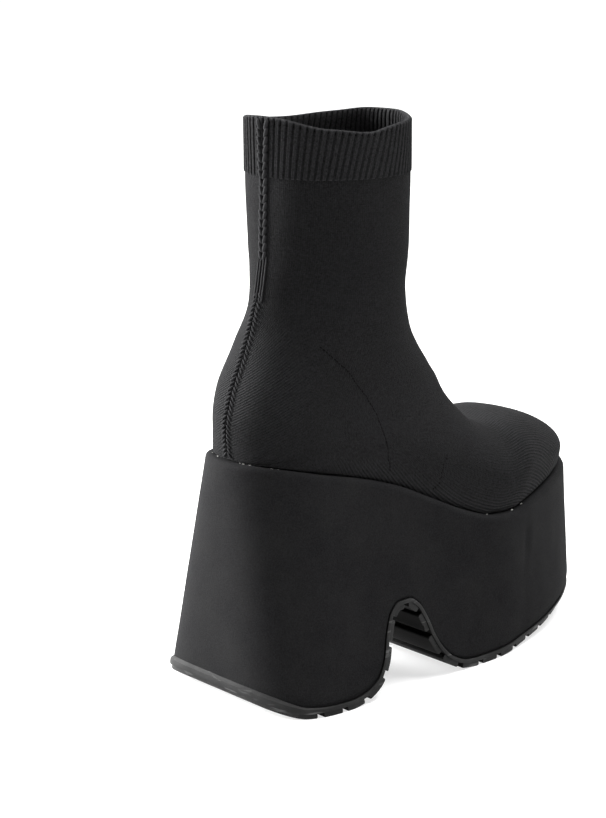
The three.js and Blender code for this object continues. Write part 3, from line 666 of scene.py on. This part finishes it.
# One more row closes the small end of the last under the toe
toe_close = np.linspace(outer_skin[-1, 0], outer_skin[-1, -1], UPPER_COLUMNS)
outer_skin = np.concatenate([outer_skin, toe_close[None]])
from_front, course, round_heel, down_heel = (
    np.concatenate([values, values[-1:]]) for values in (from_front, course, round_heel, down_heel))
edge = np.append(edge, edge[-1])

inner_u = np.linspace(u[0] * LAST_U, LAST_U - 2.2, 110) / LAST_U
inner_edge = edge_angle(inner_u)
inner_angles = upper_angles(inner_u, INNER_COLUMNS)
inner_skin = last_point(inner_u[:, None], inner_angles)
inner_skin = inner_skin - WALL * last_normal(inner_u[:, None], inner_angles)
for column in (0, -1):
    inner_skin[inner_edge > 0, column, 2] = foot_line_z(inner_skin[inner_edge > 0, column, 0]) + 0.2


# Knitted polyester yarn, fine gauge, matte: the wales are low rounded cords that spread to clear
# ribs where the toe is stretched over the last. Heel rows run slantwise across the back.
FINE_WALE, STITCH_HEIGHT, TOE_WALE, HEEL_ROW = 1.15, 1.1, 1.9, 1.28   # in mm
knit, tree, surface = new_material("fine_knit")


def math_node(operation, *values):
    return add_node(tree, "ShaderNodeMath", {"operation": operation},
                    **{f"_{i}": value for i, value in enumerate(values)}).outputs[0]


def attribute_value(name):
    return add_node(tree, "ShaderNodeAttribute", {"attribute_name": name}).outputs["Fac"]


def wave(distance, pitch):
    """Rounded ridges from 0 to 1, one for each pitch of the distance."""
    turn = math_node("MULTIPLY", distance, 2 * math.pi / pitch)
    return math_node("MULTIPLY_ADD", math_node("COSINE", turn), 0.5, 0.5)


wale_at, course_at = attribute_value("wale"), attribute_value("course")
place = add_node(tree, "ShaderNodeTexCoord").outputs["Object"]
fuzz = add_node(tree, "ShaderNodeTexNoise", Vector=place, Scale=900.0, Detail=4.0, Roughness=0.75)
plain = math_node("ADD", math_node("MULTIPLY", wave(wale_at, FINE_WALE), 0.22),
                  math_node("MULTIPLY", wave(course_at, STITCH_HEIGHT), 0.10))
ribs = math_node("MULTIPLY", wave(wale_at, TOE_WALE), attribute_value("toe_ribs"))
row_dots = math_node("MULTIPLY_ADD", wave(attribute_value("heel_across"), 1.5), 0.45, 0.55)
rows_high = math_node("MULTIPLY", wave(attribute_value("heel_row"), HEEL_ROW), row_dots)
heel_rows = math_node("MULTIPLY", rows_high, attribute_value("heel_share"))
knitted = math_node("ADD", math_node("ADD", plain, ribs), heel_rows)
grain = add_node(tree, "ShaderNodeMapRange", _0=fuzz.outputs["Fac"], _1=0.3, _2=0.7, _3=0.0, _4=1.1)
height = math_node("ADD", grain.outputs[0], knitted)
# Painted highlight and shade: the colour is lighter where the wales, ribs, heel rows and fuzz stand up, and darker
# between them and wherever furrow is set.
painted_relief_light = math_node("MULTIPLY", math_node("MULTIPLY", height, 0.42),
                 math_node("SUBTRACT", 1.0, attribute_value("furrow")))
wear = add_node(tree, "ShaderNodeTexNoise", Vector=place, Scale=26.0, Detail=4.0)
tone = add_node(tree, "ShaderNodeValToRGB", Fac=wear.outputs["Fac"])
tone.color_ramp.elements[0].position, tone.color_ramp.elements[1].position = 0.35, 0.7
tone.color_ramp.elements[0].color = linear("#080808")
tone.color_ramp.elements[1].color = linear("#0d0d0e")
shade = add_node(tree, "ShaderNodeMix", {"data_type": "RGBA"}, _0=painted_relief_light,
                 _6=tone.outputs["Color"], _7=linear("#303031"))
bump = add_node(tree, "ShaderNodeBump", Height=height, Strength=0.8, Distance=0.0006)
tree.links.new(shade.outputs[2], surface.inputs["Base Color"])
tree.links.new(bump.outputs["Normal"], surface.inputs["Normal"])
surface.inputs["Roughness"].default_value = 0.9
surface.inputs["Specular IOR Level"].default_value = 0.03
surface.inputs["Sheen Weight"].default_value = 0.005
surface.inputs["Sheen Roughness"].default_value = 0.5


def skin_numbers(edge, rows, columns, first):
    """Point numbers of a skin. Where a section closes at the back, its last point is its first."""
    numbers = first + np.arange(rows * columns).reshape(rows, columns)
    numbers[edge == 0, -1] = numbers[edge == 0, 0]
    return numbers


def skin_faces(numbers):
    corners = [numbers[:-1, :-1], numbers[:-1, 1:], numbers[1:, 1:], numbers[1:, :-1]]
    return np.stack(corners, axis=-1).reshape(-1, 4)


def strip(first, second):
    """Faces between two runs of points of different counts."""
    faces, i, j = [], 0, 0
    while i < len(first) - 1 or j < len(second) - 1:
        if j == len(second) - 1 or (i < len(first) - 1 and (i + 1) / len(first) <= (j + 1) / len(second)):
            faces.append([first[i], first[i + 1], second[j]])
            i += 1
        else:
            faces.append([first[i], second[j + 1], second[j]])
            j += 1
    return faces


outer_numbers = skin_numbers(edge, *outer_skin.shape[:2], 0)
inner_numbers = skin_numbers(inner_edge, *inner_skin.shape[:2], outer_numbers.size)
points = np.concatenate([outer_skin.reshape(-1, 3), inner_skin.reshape(-1, 3)])
upper_faces = skin_faces(outer_numbers)[:, ::-1].tolist() + skin_faces(inner_numbers).tolist()
first_open = np.count_nonzero(edge == 0) - 1
first_inner = np.count_nonzero(inner_edge == 0) - 1
upper_faces += strip(outer_numbers[0], inner_numbers[0])
upper_faces += [face[::-1] for face in strip(outer_numbers[first_open:, 0], inner_numbers[first_inner:, 0])]
upper_faces += strip(outer_numbers[first_open:, -1], inner_numbers[first_inner:, -1])
upper_faces += [face[::-1] for face in strip(outer_numbers[-1], inner_numbers[-1])]
used = np.unique(np.concatenate([np.ravel(face) for face in upper_faces]))
renumbered = np.zeros(len(points), dtype=int)
renumbered[used] = np.arange(len(used))
upper_faces = [renumbered[list(face)].tolist() for face in upper_faces]
upper = make_piece("knitted_upper", points[used], upper_faces, knit, "knit")

x, z = outer_skin[..., 0], outer_skin[..., 2]
above_platform = z - foot_line_z(x)
toe_share = 0.8 / (1 + np.exp(-(x - 168) / 9))
near_platform = np.exp(-((above_platform / 9) ** 2)) * np.clip((x - 25) / 45, 0, 1)
heel_fade = np.exp(-((np.abs(round_heel) / 40) ** 3)) / (1 + np.exp((z - 210) / 3))
heel_low = 0.35 + 0.65 / (1 + np.exp(-(z - 146) / 6))
# furrow is painted shade: it darkens the knit in a narrow strip along the back seam, above the heel's platform.
for name, values in (("wale", from_front), ("course", course),
                     ("heel_row", 0.87 * down_heel + 0.49 * round_heel),
                     ("heel_across", 0.87 * down_heel - 0.49 * round_heel),
                     ("heel_share", 1.3 * heel_fade * heel_low),
                     ("furrow", 0.75 * np.exp(-((round_heel / 3.0) ** 2)) * (z > SEAM_END)),
                     ("toe_ribs", toe_share + 1.1 * near_platform)):
    attribute = upper.data.attributes.new(name, "FLOAT", "POINT")
    flat = np.zeros(len(points))
    flat[:values.size] = values.reshape(-1)
    attribute.data.foreach_set("value", flat[used].astype(np.float32))
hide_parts("upper")

# Ribbed cuff
# The top of the sock, knitted in deep ribs and folded over once. A painted highlight makes the fold a light line, and
# the ribs lean away from the back seam.
CUFF_HEIGHT, CUFF_STEP, RIB_PITCH, RIB_DEPTH, RIB_LEAN = 31, 0.7, 3.4, 1.4, 5.6
RIB_POINTS = 12
rib_count = round(math.pi * (LEG_DEPTH + LEG_WIDTH) / 2 / RIB_PITCH)
first_row = (LEG_SECTIONS[0][0] - LEG_SECTIONS[1][0]) * (BOOT_HEIGHT - HEEL_HEIGHT)
# down from the collar, out from the leg, and how full the ribs are there
cuff_profile = [(30, -WALL + 0.1, 0.0), (28, -WALL - 1.0, 0.6), (19, -WALL - 1.0, 0.6), (10, -WALL - 1.0, 0.6),
                (3, -WALL - 0.9, 0.6), (1.0, -WALL - 0.3, 0.5), (0.3, -1.5, 0.3), (0.0, -0.9, 0.15),
                (0.1, -0.3, 0.15), (0.5, CUFF_STEP - 0.4, 0.3), (1.2, CUFF_STEP, 0.6)]
cuff_profile += [(down, CUFF_STEP, 1.0) for down in np.linspace(2.4, CUFF_HEIGHT - 0.8, 18)]
cuff_profile += [(CUFF_HEIGHT - 0.2, CUFF_STEP - 0.3, 0.9), (CUFF_HEIGHT, -0.2, 0.3), (CUFF_HEIGHT - 3, -0.9, 0.0)]
# The collar rises and dips where it has been pulled: angle round the leg, and rise
COLLAR_WAVE = np.array([
    (-3.2, 0.0), (-1.8, 0.8), (-1.3, 0.6), (-0.6, 0.0), (0.3, 0.0), (0.79, -1.2), (1.05, -0.5),
    (1.38, -0.7), (1.57, 0.9), (1.83, 2.0), (2.09, 1.4), (2.5, 0.1), (3.2, 0.0),
])
even = 2 * math.pi * np.arange(rib_count * RIB_POINTS) / (rib_count * RIB_POINTS)
along_rib = (np.arange(len(even)) / RIB_POINTS) % 1
furrow = np.exp(-(((along_rib - 0.5) / 0.17) ** 2)) + 0.16 * np.exp(-((np.minimum(along_rib, 1 - along_rib) / 0.09) ** 2))
signed = (even + math.pi) % (2 * math.pi) - math.pi
levels = []
for down, out, full in cuff_profile:
    lean = RIB_LEAN * (1 - down / CUFF_HEIGHT) / (LEG_WIDTH / 2)
    angle = even + lean * np.sin(even)
    place = np.full_like(angle, down / first_row / LAST_U)
    inside = -1 if out < -WALL + 0.05 else 1
    offset = out - inside * RIB_DEPTH * full * furrow
    point = last_point(place, angle) + last_normal(np.maximum(place, 1e-3), angle) * offset[:, None]
    rise = read_column(COLLAR_WAVE, 1, signed) + 0.12 * np.sin(9 * even)
    point[:, 2] += rise * max(0, 1 - down / 16)
    levels.append(point)
loops = np.stack(levels, axis=1)
numbers = np.arange(len(even) * len(levels)).reshape(len(even), len(levels))
cuff_faces = skin_faces(np.pad(numbers, ((0, 1), (0, 1)), mode="wrap"))[:, ::-1].tolist()
cuff = make_piece("ribbed_cuff", loops.reshape(-1, 3), cuff_faces, knit, "knit")
# Painted shade in the rib furrows and a painted highlight on the ribs' tops, both stronger at the folded rim and at
# the cuff's lower edge.
shadow = cuff.data.attributes.new("furrow", "FLOAT", "POINT")
deep = furrow[:, None] * np.array([full for _, _, full in cuff_profile])
at_fold = [0 < out + WALL < WALL + CUFF_STEP for _, out, _ in cuff_profile]
painted_ridge_light = np.where(at_fold, 1.4, 0.7)
shadow.data.foreach_set("value", np.clip((1 + painted_ridge_light) * deep - painted_ridge_light, -painted_ridge_light, 1).ravel().astype(np.float32))

# Back seam
# Two cords of twisted yarn braid the seam from the collar down to the ankle. Two plain ribs
# follow, and then slanting stitches meet along the seam down the heel to the platform.


def strand_nodes():
    """Node tree that lays one small rounded strand of yarn on each point it is given."""
    tree = bpy.data.node_groups.new("laid_strands", "GeometryNodeTree")
    for name, kind in (("Places", "NodeSocketGeometry"), ("Sides", "NodeSocketInt"),
                       ("Unevenness", "NodeSocketFloat"), ("Seed", "NodeSocketInt"),
                       ("Yarn", "NodeSocketMaterial")):
        tree.interface.new_socket(name, in_out="INPUT", socket_type=kind)
    tree.interface.new_socket("Strands", in_out="OUTPUT", socket_type="NodeSocketGeometry")
    given = tree.nodes.new("NodeGroupInput").outputs
    strand = add_node(tree, "GeometryNodeMeshUVSphere", Segments=given["Sides"], Rings=6, Radius=0.5)
    turn = add_node(tree, "GeometryNodeInputNamedAttribute", {"data_type": "FLOAT_VECTOR"}, Name="turn")
    size = add_node(tree, "GeometryNodeInputNamedAttribute", {"data_type": "FLOAT_VECTOR"}, Name="size")
    rotation = add_node(tree, "FunctionNodeEulerToRotation", Euler=turn.outputs["Attribute"])
    least = add_node(tree, "ShaderNodeMath", {"operation": "SUBTRACT"}, _0=1.0, _1=given["Unevenness"])
    most = add_node(tree, "ShaderNodeMath", {"operation": "ADD"}, _0=1.0, _1=given["Unevenness"])
    change = add_node(tree, "FunctionNodeRandomValue", {"data_type": "FLOAT"}, _2=least.outputs[0],
                      _3=most.outputs[0], Seed=given["Seed"])
    scale = add_node(tree, "ShaderNodeVectorMath", {"operation": "SCALE"}, _0=size.outputs["Attribute"],
                     Scale=change.outputs[1])
    laid = add_node(tree, "GeometryNodeInstanceOnPoints", Points=given["Places"],
                    Instance=strand.outputs["Mesh"], Rotation=rotation.outputs["Rotation"],
                    Scale=scale.outputs["Vector"])
    real = add_node(tree, "GeometryNodeRealizeInstances", Geometry=laid.outputs["Instances"])
    painted = add_node(tree, "GeometryNodeSetMaterial", Geometry=real.outputs["Geometry"], Material=given["Yarn"])
    tree.links.new(painted.outputs["Geometry"], tree.nodes.new("NodeGroupOutput").inputs["Strands"])
    return tree


laid_strands = strand_nodes()


def lay_strands(name, places, directions, normals, sizes, material, unevenness=0.08, seed=3):
    """A piece of strands, one at each place. sizes are length, width and height in millimetres."""
    normals = normals / np.linalg.norm(normals, axis=1, keepdims=True)
    directions = directions - np.sum(directions * normals, axis=1, keepdims=True) * normals
    directions /= np.linalg.norm(directions, axis=1, keepdims=True)
    across = np.cross(normals, directions)
    turns = [Matrix(axes).transposed().to_euler() for axes in np.stack([directions, across, normals], axis=1)]
    mesh = bpy.data.meshes.new(name)
    mesh.from_pydata(((places + ORIGIN) / 1000).tolist(), [], [])
    for key, values in (("turn", turns), ("size", sizes / 1000)):
        attribute = mesh.attributes.new(key, "FLOAT_VECTOR", "POINT")
        attribute.data.foreach_set("vector", np.array(values, dtype=np.float32).ravel())
    piece = bpy.data.objects.new(name, mesh)
    bpy.context.scene.collection.objects.link(piece)
    modifier = piece.modifiers.new("strands", "NODES")
    modifier.node_group = laid_strands
    inputs = {"Sides": 8, "Unevenness": unevenness, "Seed": seed, "Yarn": material}
    for socket in laid_strands.interface.items_tree:
        if socket.name in inputs:
            modifier[socket.identifier] = inputs[socket.name]
    evaluated = piece.evaluated_get(bpy.context.evaluated_depsgraph_get())
    baked = bpy.data.meshes.new_from_object(evaluated)
    piece.modifiers.remove(modifier)
    piece.data = baked
    baked.polygons.foreach_set("use_smooth", [True] * len(baked.polygons))
    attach(piece, "root")
    return piece


# Yarn of the seam, thicker than the knit's own and a little paler. A fine grain stands for its fibres.
yarn, tree, surface = new_material("twisted_yarn")
place = add_node(tree, "ShaderNodeTexCoord").outputs["Object"]
fibre = add_node(tree, "ShaderNodeTexNoise", Vector=place, Scale=1600.0, Detail=3.0, Roughness=0.7)
bump = add_node(tree, "ShaderNodeBump", Height=fibre.outputs["Fac"], Strength=0.5, Distance=0.0003)
tree.links.new(bump.outputs["Normal"], surface.inputs["Normal"])
surface.inputs["Base Color"].default_value = linear("#2b2b2c")
surface.inputs["Roughness"].default_value = 0.85
surface.inputs["Specular IOR Level"].default_value = 0.05

fine_u = np.linspace(0.02, len(LEG_SECTIONS) - 0.2, 3000) / LAST_U
seam_line = last_point(fine_u, 0.0)
seam_length = np.concatenate([[0], np.cumsum(np.linalg.norm(np.diff(seam_line, axis=0), axis=1))])
seam_down = np.gradient(seam_line, axis=0)
seam_down /= np.linalg.norm(seam_down, axis=1, keepdims=True)
seam_out = np.cross(seam_down, [0.0, 1.0, 0.0])
seam_out *= np.sign(-seam_out[:, [0]])
seam_parts = []


def sew(top, bottom, pitch, side, offset, slant, size, lift, shift=0.0):
    """Strands beside the seam between two heights. side is 1 for the outer side, -1 for the inner,
    offset and lift are out from the seam, and slant is the angle from the seam's own way down.
    On the cuff they spread towards the collar."""
    rows = (seam_line[:, 2] <= top) & (seam_line[:, 2] >= bottom)
    begin, finish = seam_length[rows][[0, -1]]
    at = np.arange(begin + shift, finish, pitch)
    pick = np.searchsorted(seam_length, at).clip(0, len(seam_line) - 1)
    across = np.array([0.0, -float(side), 0.0])
    on_cuff = np.clip((seam_line[pick, 2] - BOOT_HEIGHT + CUFF_HEIGHT) / CUFF_HEIGHT, 0, 1)
    raised = lift + CUFF_STEP * (on_cuff > 0) + knit_relief(seam_line[pick], np.full(len(pick), offset))
    spots = seam_line[pick] + (offset + 1.5 * on_cuff)[:, None] * across + seam_out[pick] * raised[:, None]
    spots[:, 1] -= np.interp(spots[:, 2], [RIBS_END, BRAID_END, BOOT_HEIGHT], [0.0, 0.8, 2.0])
    turn = math.radians(slant)
    ways = seam_down[pick] * math.cos(turn) + across * math.sin(turn)
    seam_parts.append((spots, ways, seam_out[pick], np.tile(size, (len(pick), 1))))


for side in (1, -1):
    sew(BOOT_HEIGHT - 4, BRAID_END, 4.2, side, 1.5, -20, (6.2, 2.1, 2.1), 0.35)
    sew(BRAID_END + 1, RIBS_END - 2, 1.6, side, 1.1, 0, (3.4, 1.0, 0.9), 0.2)
    sew(BRAID_END + 1, RIBS_END - 2, 1.6, side, 2.9, 0, (3.4, 1.0, 0.8), 0.05)
    sew(RIBS_END, SEAM_END, 2.5, side, 1.6 if side > 0 else 2.1, 48, (3.8 if side > 0 else 4.8, 1.05, 1.3), 0.2)
spots, ways, outs, sizes = (np.concatenate(part) for part in zip(*seam_parts))
seam = lay_strands("back_seam", spots, ways, outs, sizes, yarn)

# Heel and toe borders
# Where the heel and the toe are knitted on, a row of dark stitches shows as a dashed line. The
# outer side's lines are in the photo, and the inner side's are their mirror image.
HEEL_BORDER = np.array([(37, 189), (44, 182), (52, 175), (59, 167), (67, 158), (74, 147), (77, 134), (77.5, 124), (78, 117)])
TOE_BORDER = np.array([(119, 119), (116, 115), (113.5, 109.5), (111, 105), (107, 101)])
# Dark thread laid on the knit, near black: partly its own colour, partly painted shade of the furrow it lies in. It
# shows no sheen.
thread, tree, surface = new_material("thread_in_painted_shade")
surface.inputs["Base Color"].default_value = linear("#040404")
surface.inputs["Roughness"].default_value = 0.95
surface.inputs["Specular IOR Level"].default_value = 0.02


def on_skin(path, first_column, last_column):
    """Points and normals of the outer skin nearest to a path of x and z, on one side of the boot."""
    skin = outer_skin[:, first_column:last_column].reshape(-1, 3)
    skin_out = normals[:, first_column:last_column].reshape(-1, 3)
    away = np.hypot(path[:, [0]] - skin[:, 0], path[:, [1]] - skin[:, 2])
    nearest = np.argsort(away, axis=1)[:, :4]
    weight = 1 / (np.take_along_axis(away, nearest, axis=1) + 0.2)
    weight = (weight / weight.sum(axis=1, keepdims=True))[..., None]
    return (skin[nearest] * weight).sum(axis=1), (skin_out[nearest] * weight).sum(axis=1)


border_parts = []
for border, pitch, size in ((HEEL_BORDER, 1.9, (1.5, 0.55, 0.4)), (TOE_BORDER, 1.7, (0.9, 0.7, 0.4))):
    run = np.concatenate([[0], np.cumsum(np.hypot(*np.diff(border, axis=0).T))])
    rows = np.column_stack([run, border])
    at = np.arange(0, run[-1], pitch)
    path = np.column_stack([read_column(rows, 1, at), read_column(rows, 2, at)])
    half = UPPER_COLUMNS // 2
    for first_column, last_column in ((0, half - 10), (half + 11, UPPER_COLUMNS)):
        spots, outs = on_skin(path, first_column, last_column)
        border_parts.append((spots + 0.02 * outs, np.gradient(spots, axis=0), outs, np.tile(size, (len(spots), 1))))
spots, ways, outs, sizes = (np.concatenate(part) for part in zip(*border_parts))
borders = lay_strands("border_stitches", spots, ways, outs, sizes, thread, 0.15, 5)

# Glue flecks
# Small pale beads of dried glue that were pressed out where the upper meets the platform: at the
# back of the heel and beside the toe.
# side (1 outer, -1 inner), place along the foot, length and width
FLECKS = [(-1, 4.6, 2.6, 0.6), (-1, 1.2, 1.6, 0.5), (1, 0.7, 1.2, 0.5), (1, 1.2, 2.0, 0.6), (1, 2.4, 1.2, 0.5),
          (1, 4.8, 1.6, 0.5), (1, 8.2, 2.2, 0.5), (1, 10.8, 1.2, 0.4), (1, 144.5, 1.6, 0.6), (1, 166, 1.8, 0.7),
          (1, 177, 2.4, 0.7), (-1, 150, 1.6, 0.5)]
# Dried glue: pale and smooth, with a soft gloss.
glue, tree, surface = new_material("dried_glue")
surface.inputs["Base Color"].default_value = linear("#8c8c88")
surface.inputs["Roughness"].default_value = 0.45
flecks = np.array(FLECKS)


def foot_edge(x, side):
    half = np.where(side > 0, foot_half(x, "outer"), foot_half(x, "inner")) + 0.6
    return np.stack([x, axis_y(x) - side * half, foot_line_z(x) - 0.1], axis=1)


spots = foot_edge(flecks[:, 1], flecks[:, 0])
ways = foot_edge(flecks[:, 1] + 0.4, flecks[:, 0]) - spots
sizes = np.column_stack([flecks[:, 2], flecks[:, 3], flecks[:, 3]])
beads = lay_strands("glue_flecks", spots, ways, np.tile([0.0, 0.0, 1.0], (len(spots), 1)), sizes, glue, 0.25, 7)

# Studio
# A pale sheet that glows softly by itself, so shadows on it stay faint. Large soft lights stand behind the boot, to
# the left and above.
floor_tone, tree, surface = new_material("studio_paper")
surface.inputs["Base Color"].default_value = linear("#b0b0b0")
surface.inputs["Emission Color"].default_value = linear("#ffffff")
surface.inputs["Emission Strength"].default_value = 0.66
surface.inputs["Roughness"].default_value = 0.9
size = 30.0
floor_mesh = bpy.data.meshes.new("floor")
floor_mesh.from_pydata([(-size, -size, 0), (size, -size, 0), (size, size, 0), (-size, size, 0)], [], [(0, 1, 2, 3)])
floor = bpy.data.objects.new("floor", floor_mesh)
bpy.context.scene.collection.objects.link(floor)
floor_mesh.materials.append(floor_tone)


def aim(thing, position, target):
    thing.location = Vector(position)
    thing.rotation_euler = (Vector(target) - Vector(position)).to_track_quat("-Z", "Y").to_euler()


def soft_light(name, position, target, width, height, power):
    light = bpy.data.lights.new(name, "AREA")
    light.shape, light.size, light.size_y, light.energy = "RECTANGLE", width, height, power
    lamp = bpy.data.objects.new(name, light)
    bpy.context.scene.collection.objects.link(lamp)
    aim(lamp, position, target)
    return lamp


soft_light("key", (-1.0, 1.85, 0.75), (0, 0, 0.15), 1.0, 1.0, 250)
soft_light("top", (0.3, -0.3, 2.0), (0, 0, 0.1), 1.2, 1.2, 72)

world = bpy.data.worlds.new("studio")
bpy.context.scene.world = world
world.use_nodes = True
# The room behind the boot is bright, and the side it is seen from is dark
BRIGHT_ROOM, DARK_ROOM, ROOM_WAY = 1.7, 0.1, (0.669, 0.743, 0.0)
sky = world.node_tree.nodes["Background"]
way = add_node(world.node_tree, "ShaderNodeTexCoord").outputs["Generated"]
facing = add_node(world.node_tree, "ShaderNodeVectorMath", {"operation": "DOT_PRODUCT"}, _0=way, _1=ROOM_WAY)
brightness = add_node(world.node_tree, "ShaderNodeMapRange", {"interpolation_type": "SMOOTHSTEP"},
                      _0=facing.outputs["Value"], _1=-0.5, _2=0.8, _3=DARK_ROOM, _4=BRIGHT_ROOM)
world.node_tree.links.new(brightness.outputs[0], sky.inputs["Strength"])
sky.inputs["Color"].default_value = (1, 1, 1, 1)
bpy.context.scene.view_settings.view_transform = "Standard"

# Camera
# It stands behind the boot's outer side, a little above it, and stays level.
PHOTO_HEIGHT, FOCAL_PIXELS = 818, 2228.7
CAMERA_PLACE = np.array([-713.8, -853.1, 438.5])
CAMERA_AIM = np.array([13.9, -42.1, 162.8])
camera_data = bpy.data.cameras.new("camera")
camera_data.sensor_fit = "VERTICAL"
camera_data.sensor_height = 36
camera_data.lens = FOCAL_PIXELS / PHOTO_HEIGHT * camera_data.sensor_height
camera = bpy.data.objects.new("camera", camera_data)
bpy.context.scene.collection.objects.link(camera)
aim(camera, (CAMERA_PLACE + ORIGIN) / 1000, (CAMERA_AIM + ORIGIN) / 1000)
bpy.context.scene.camera = camera
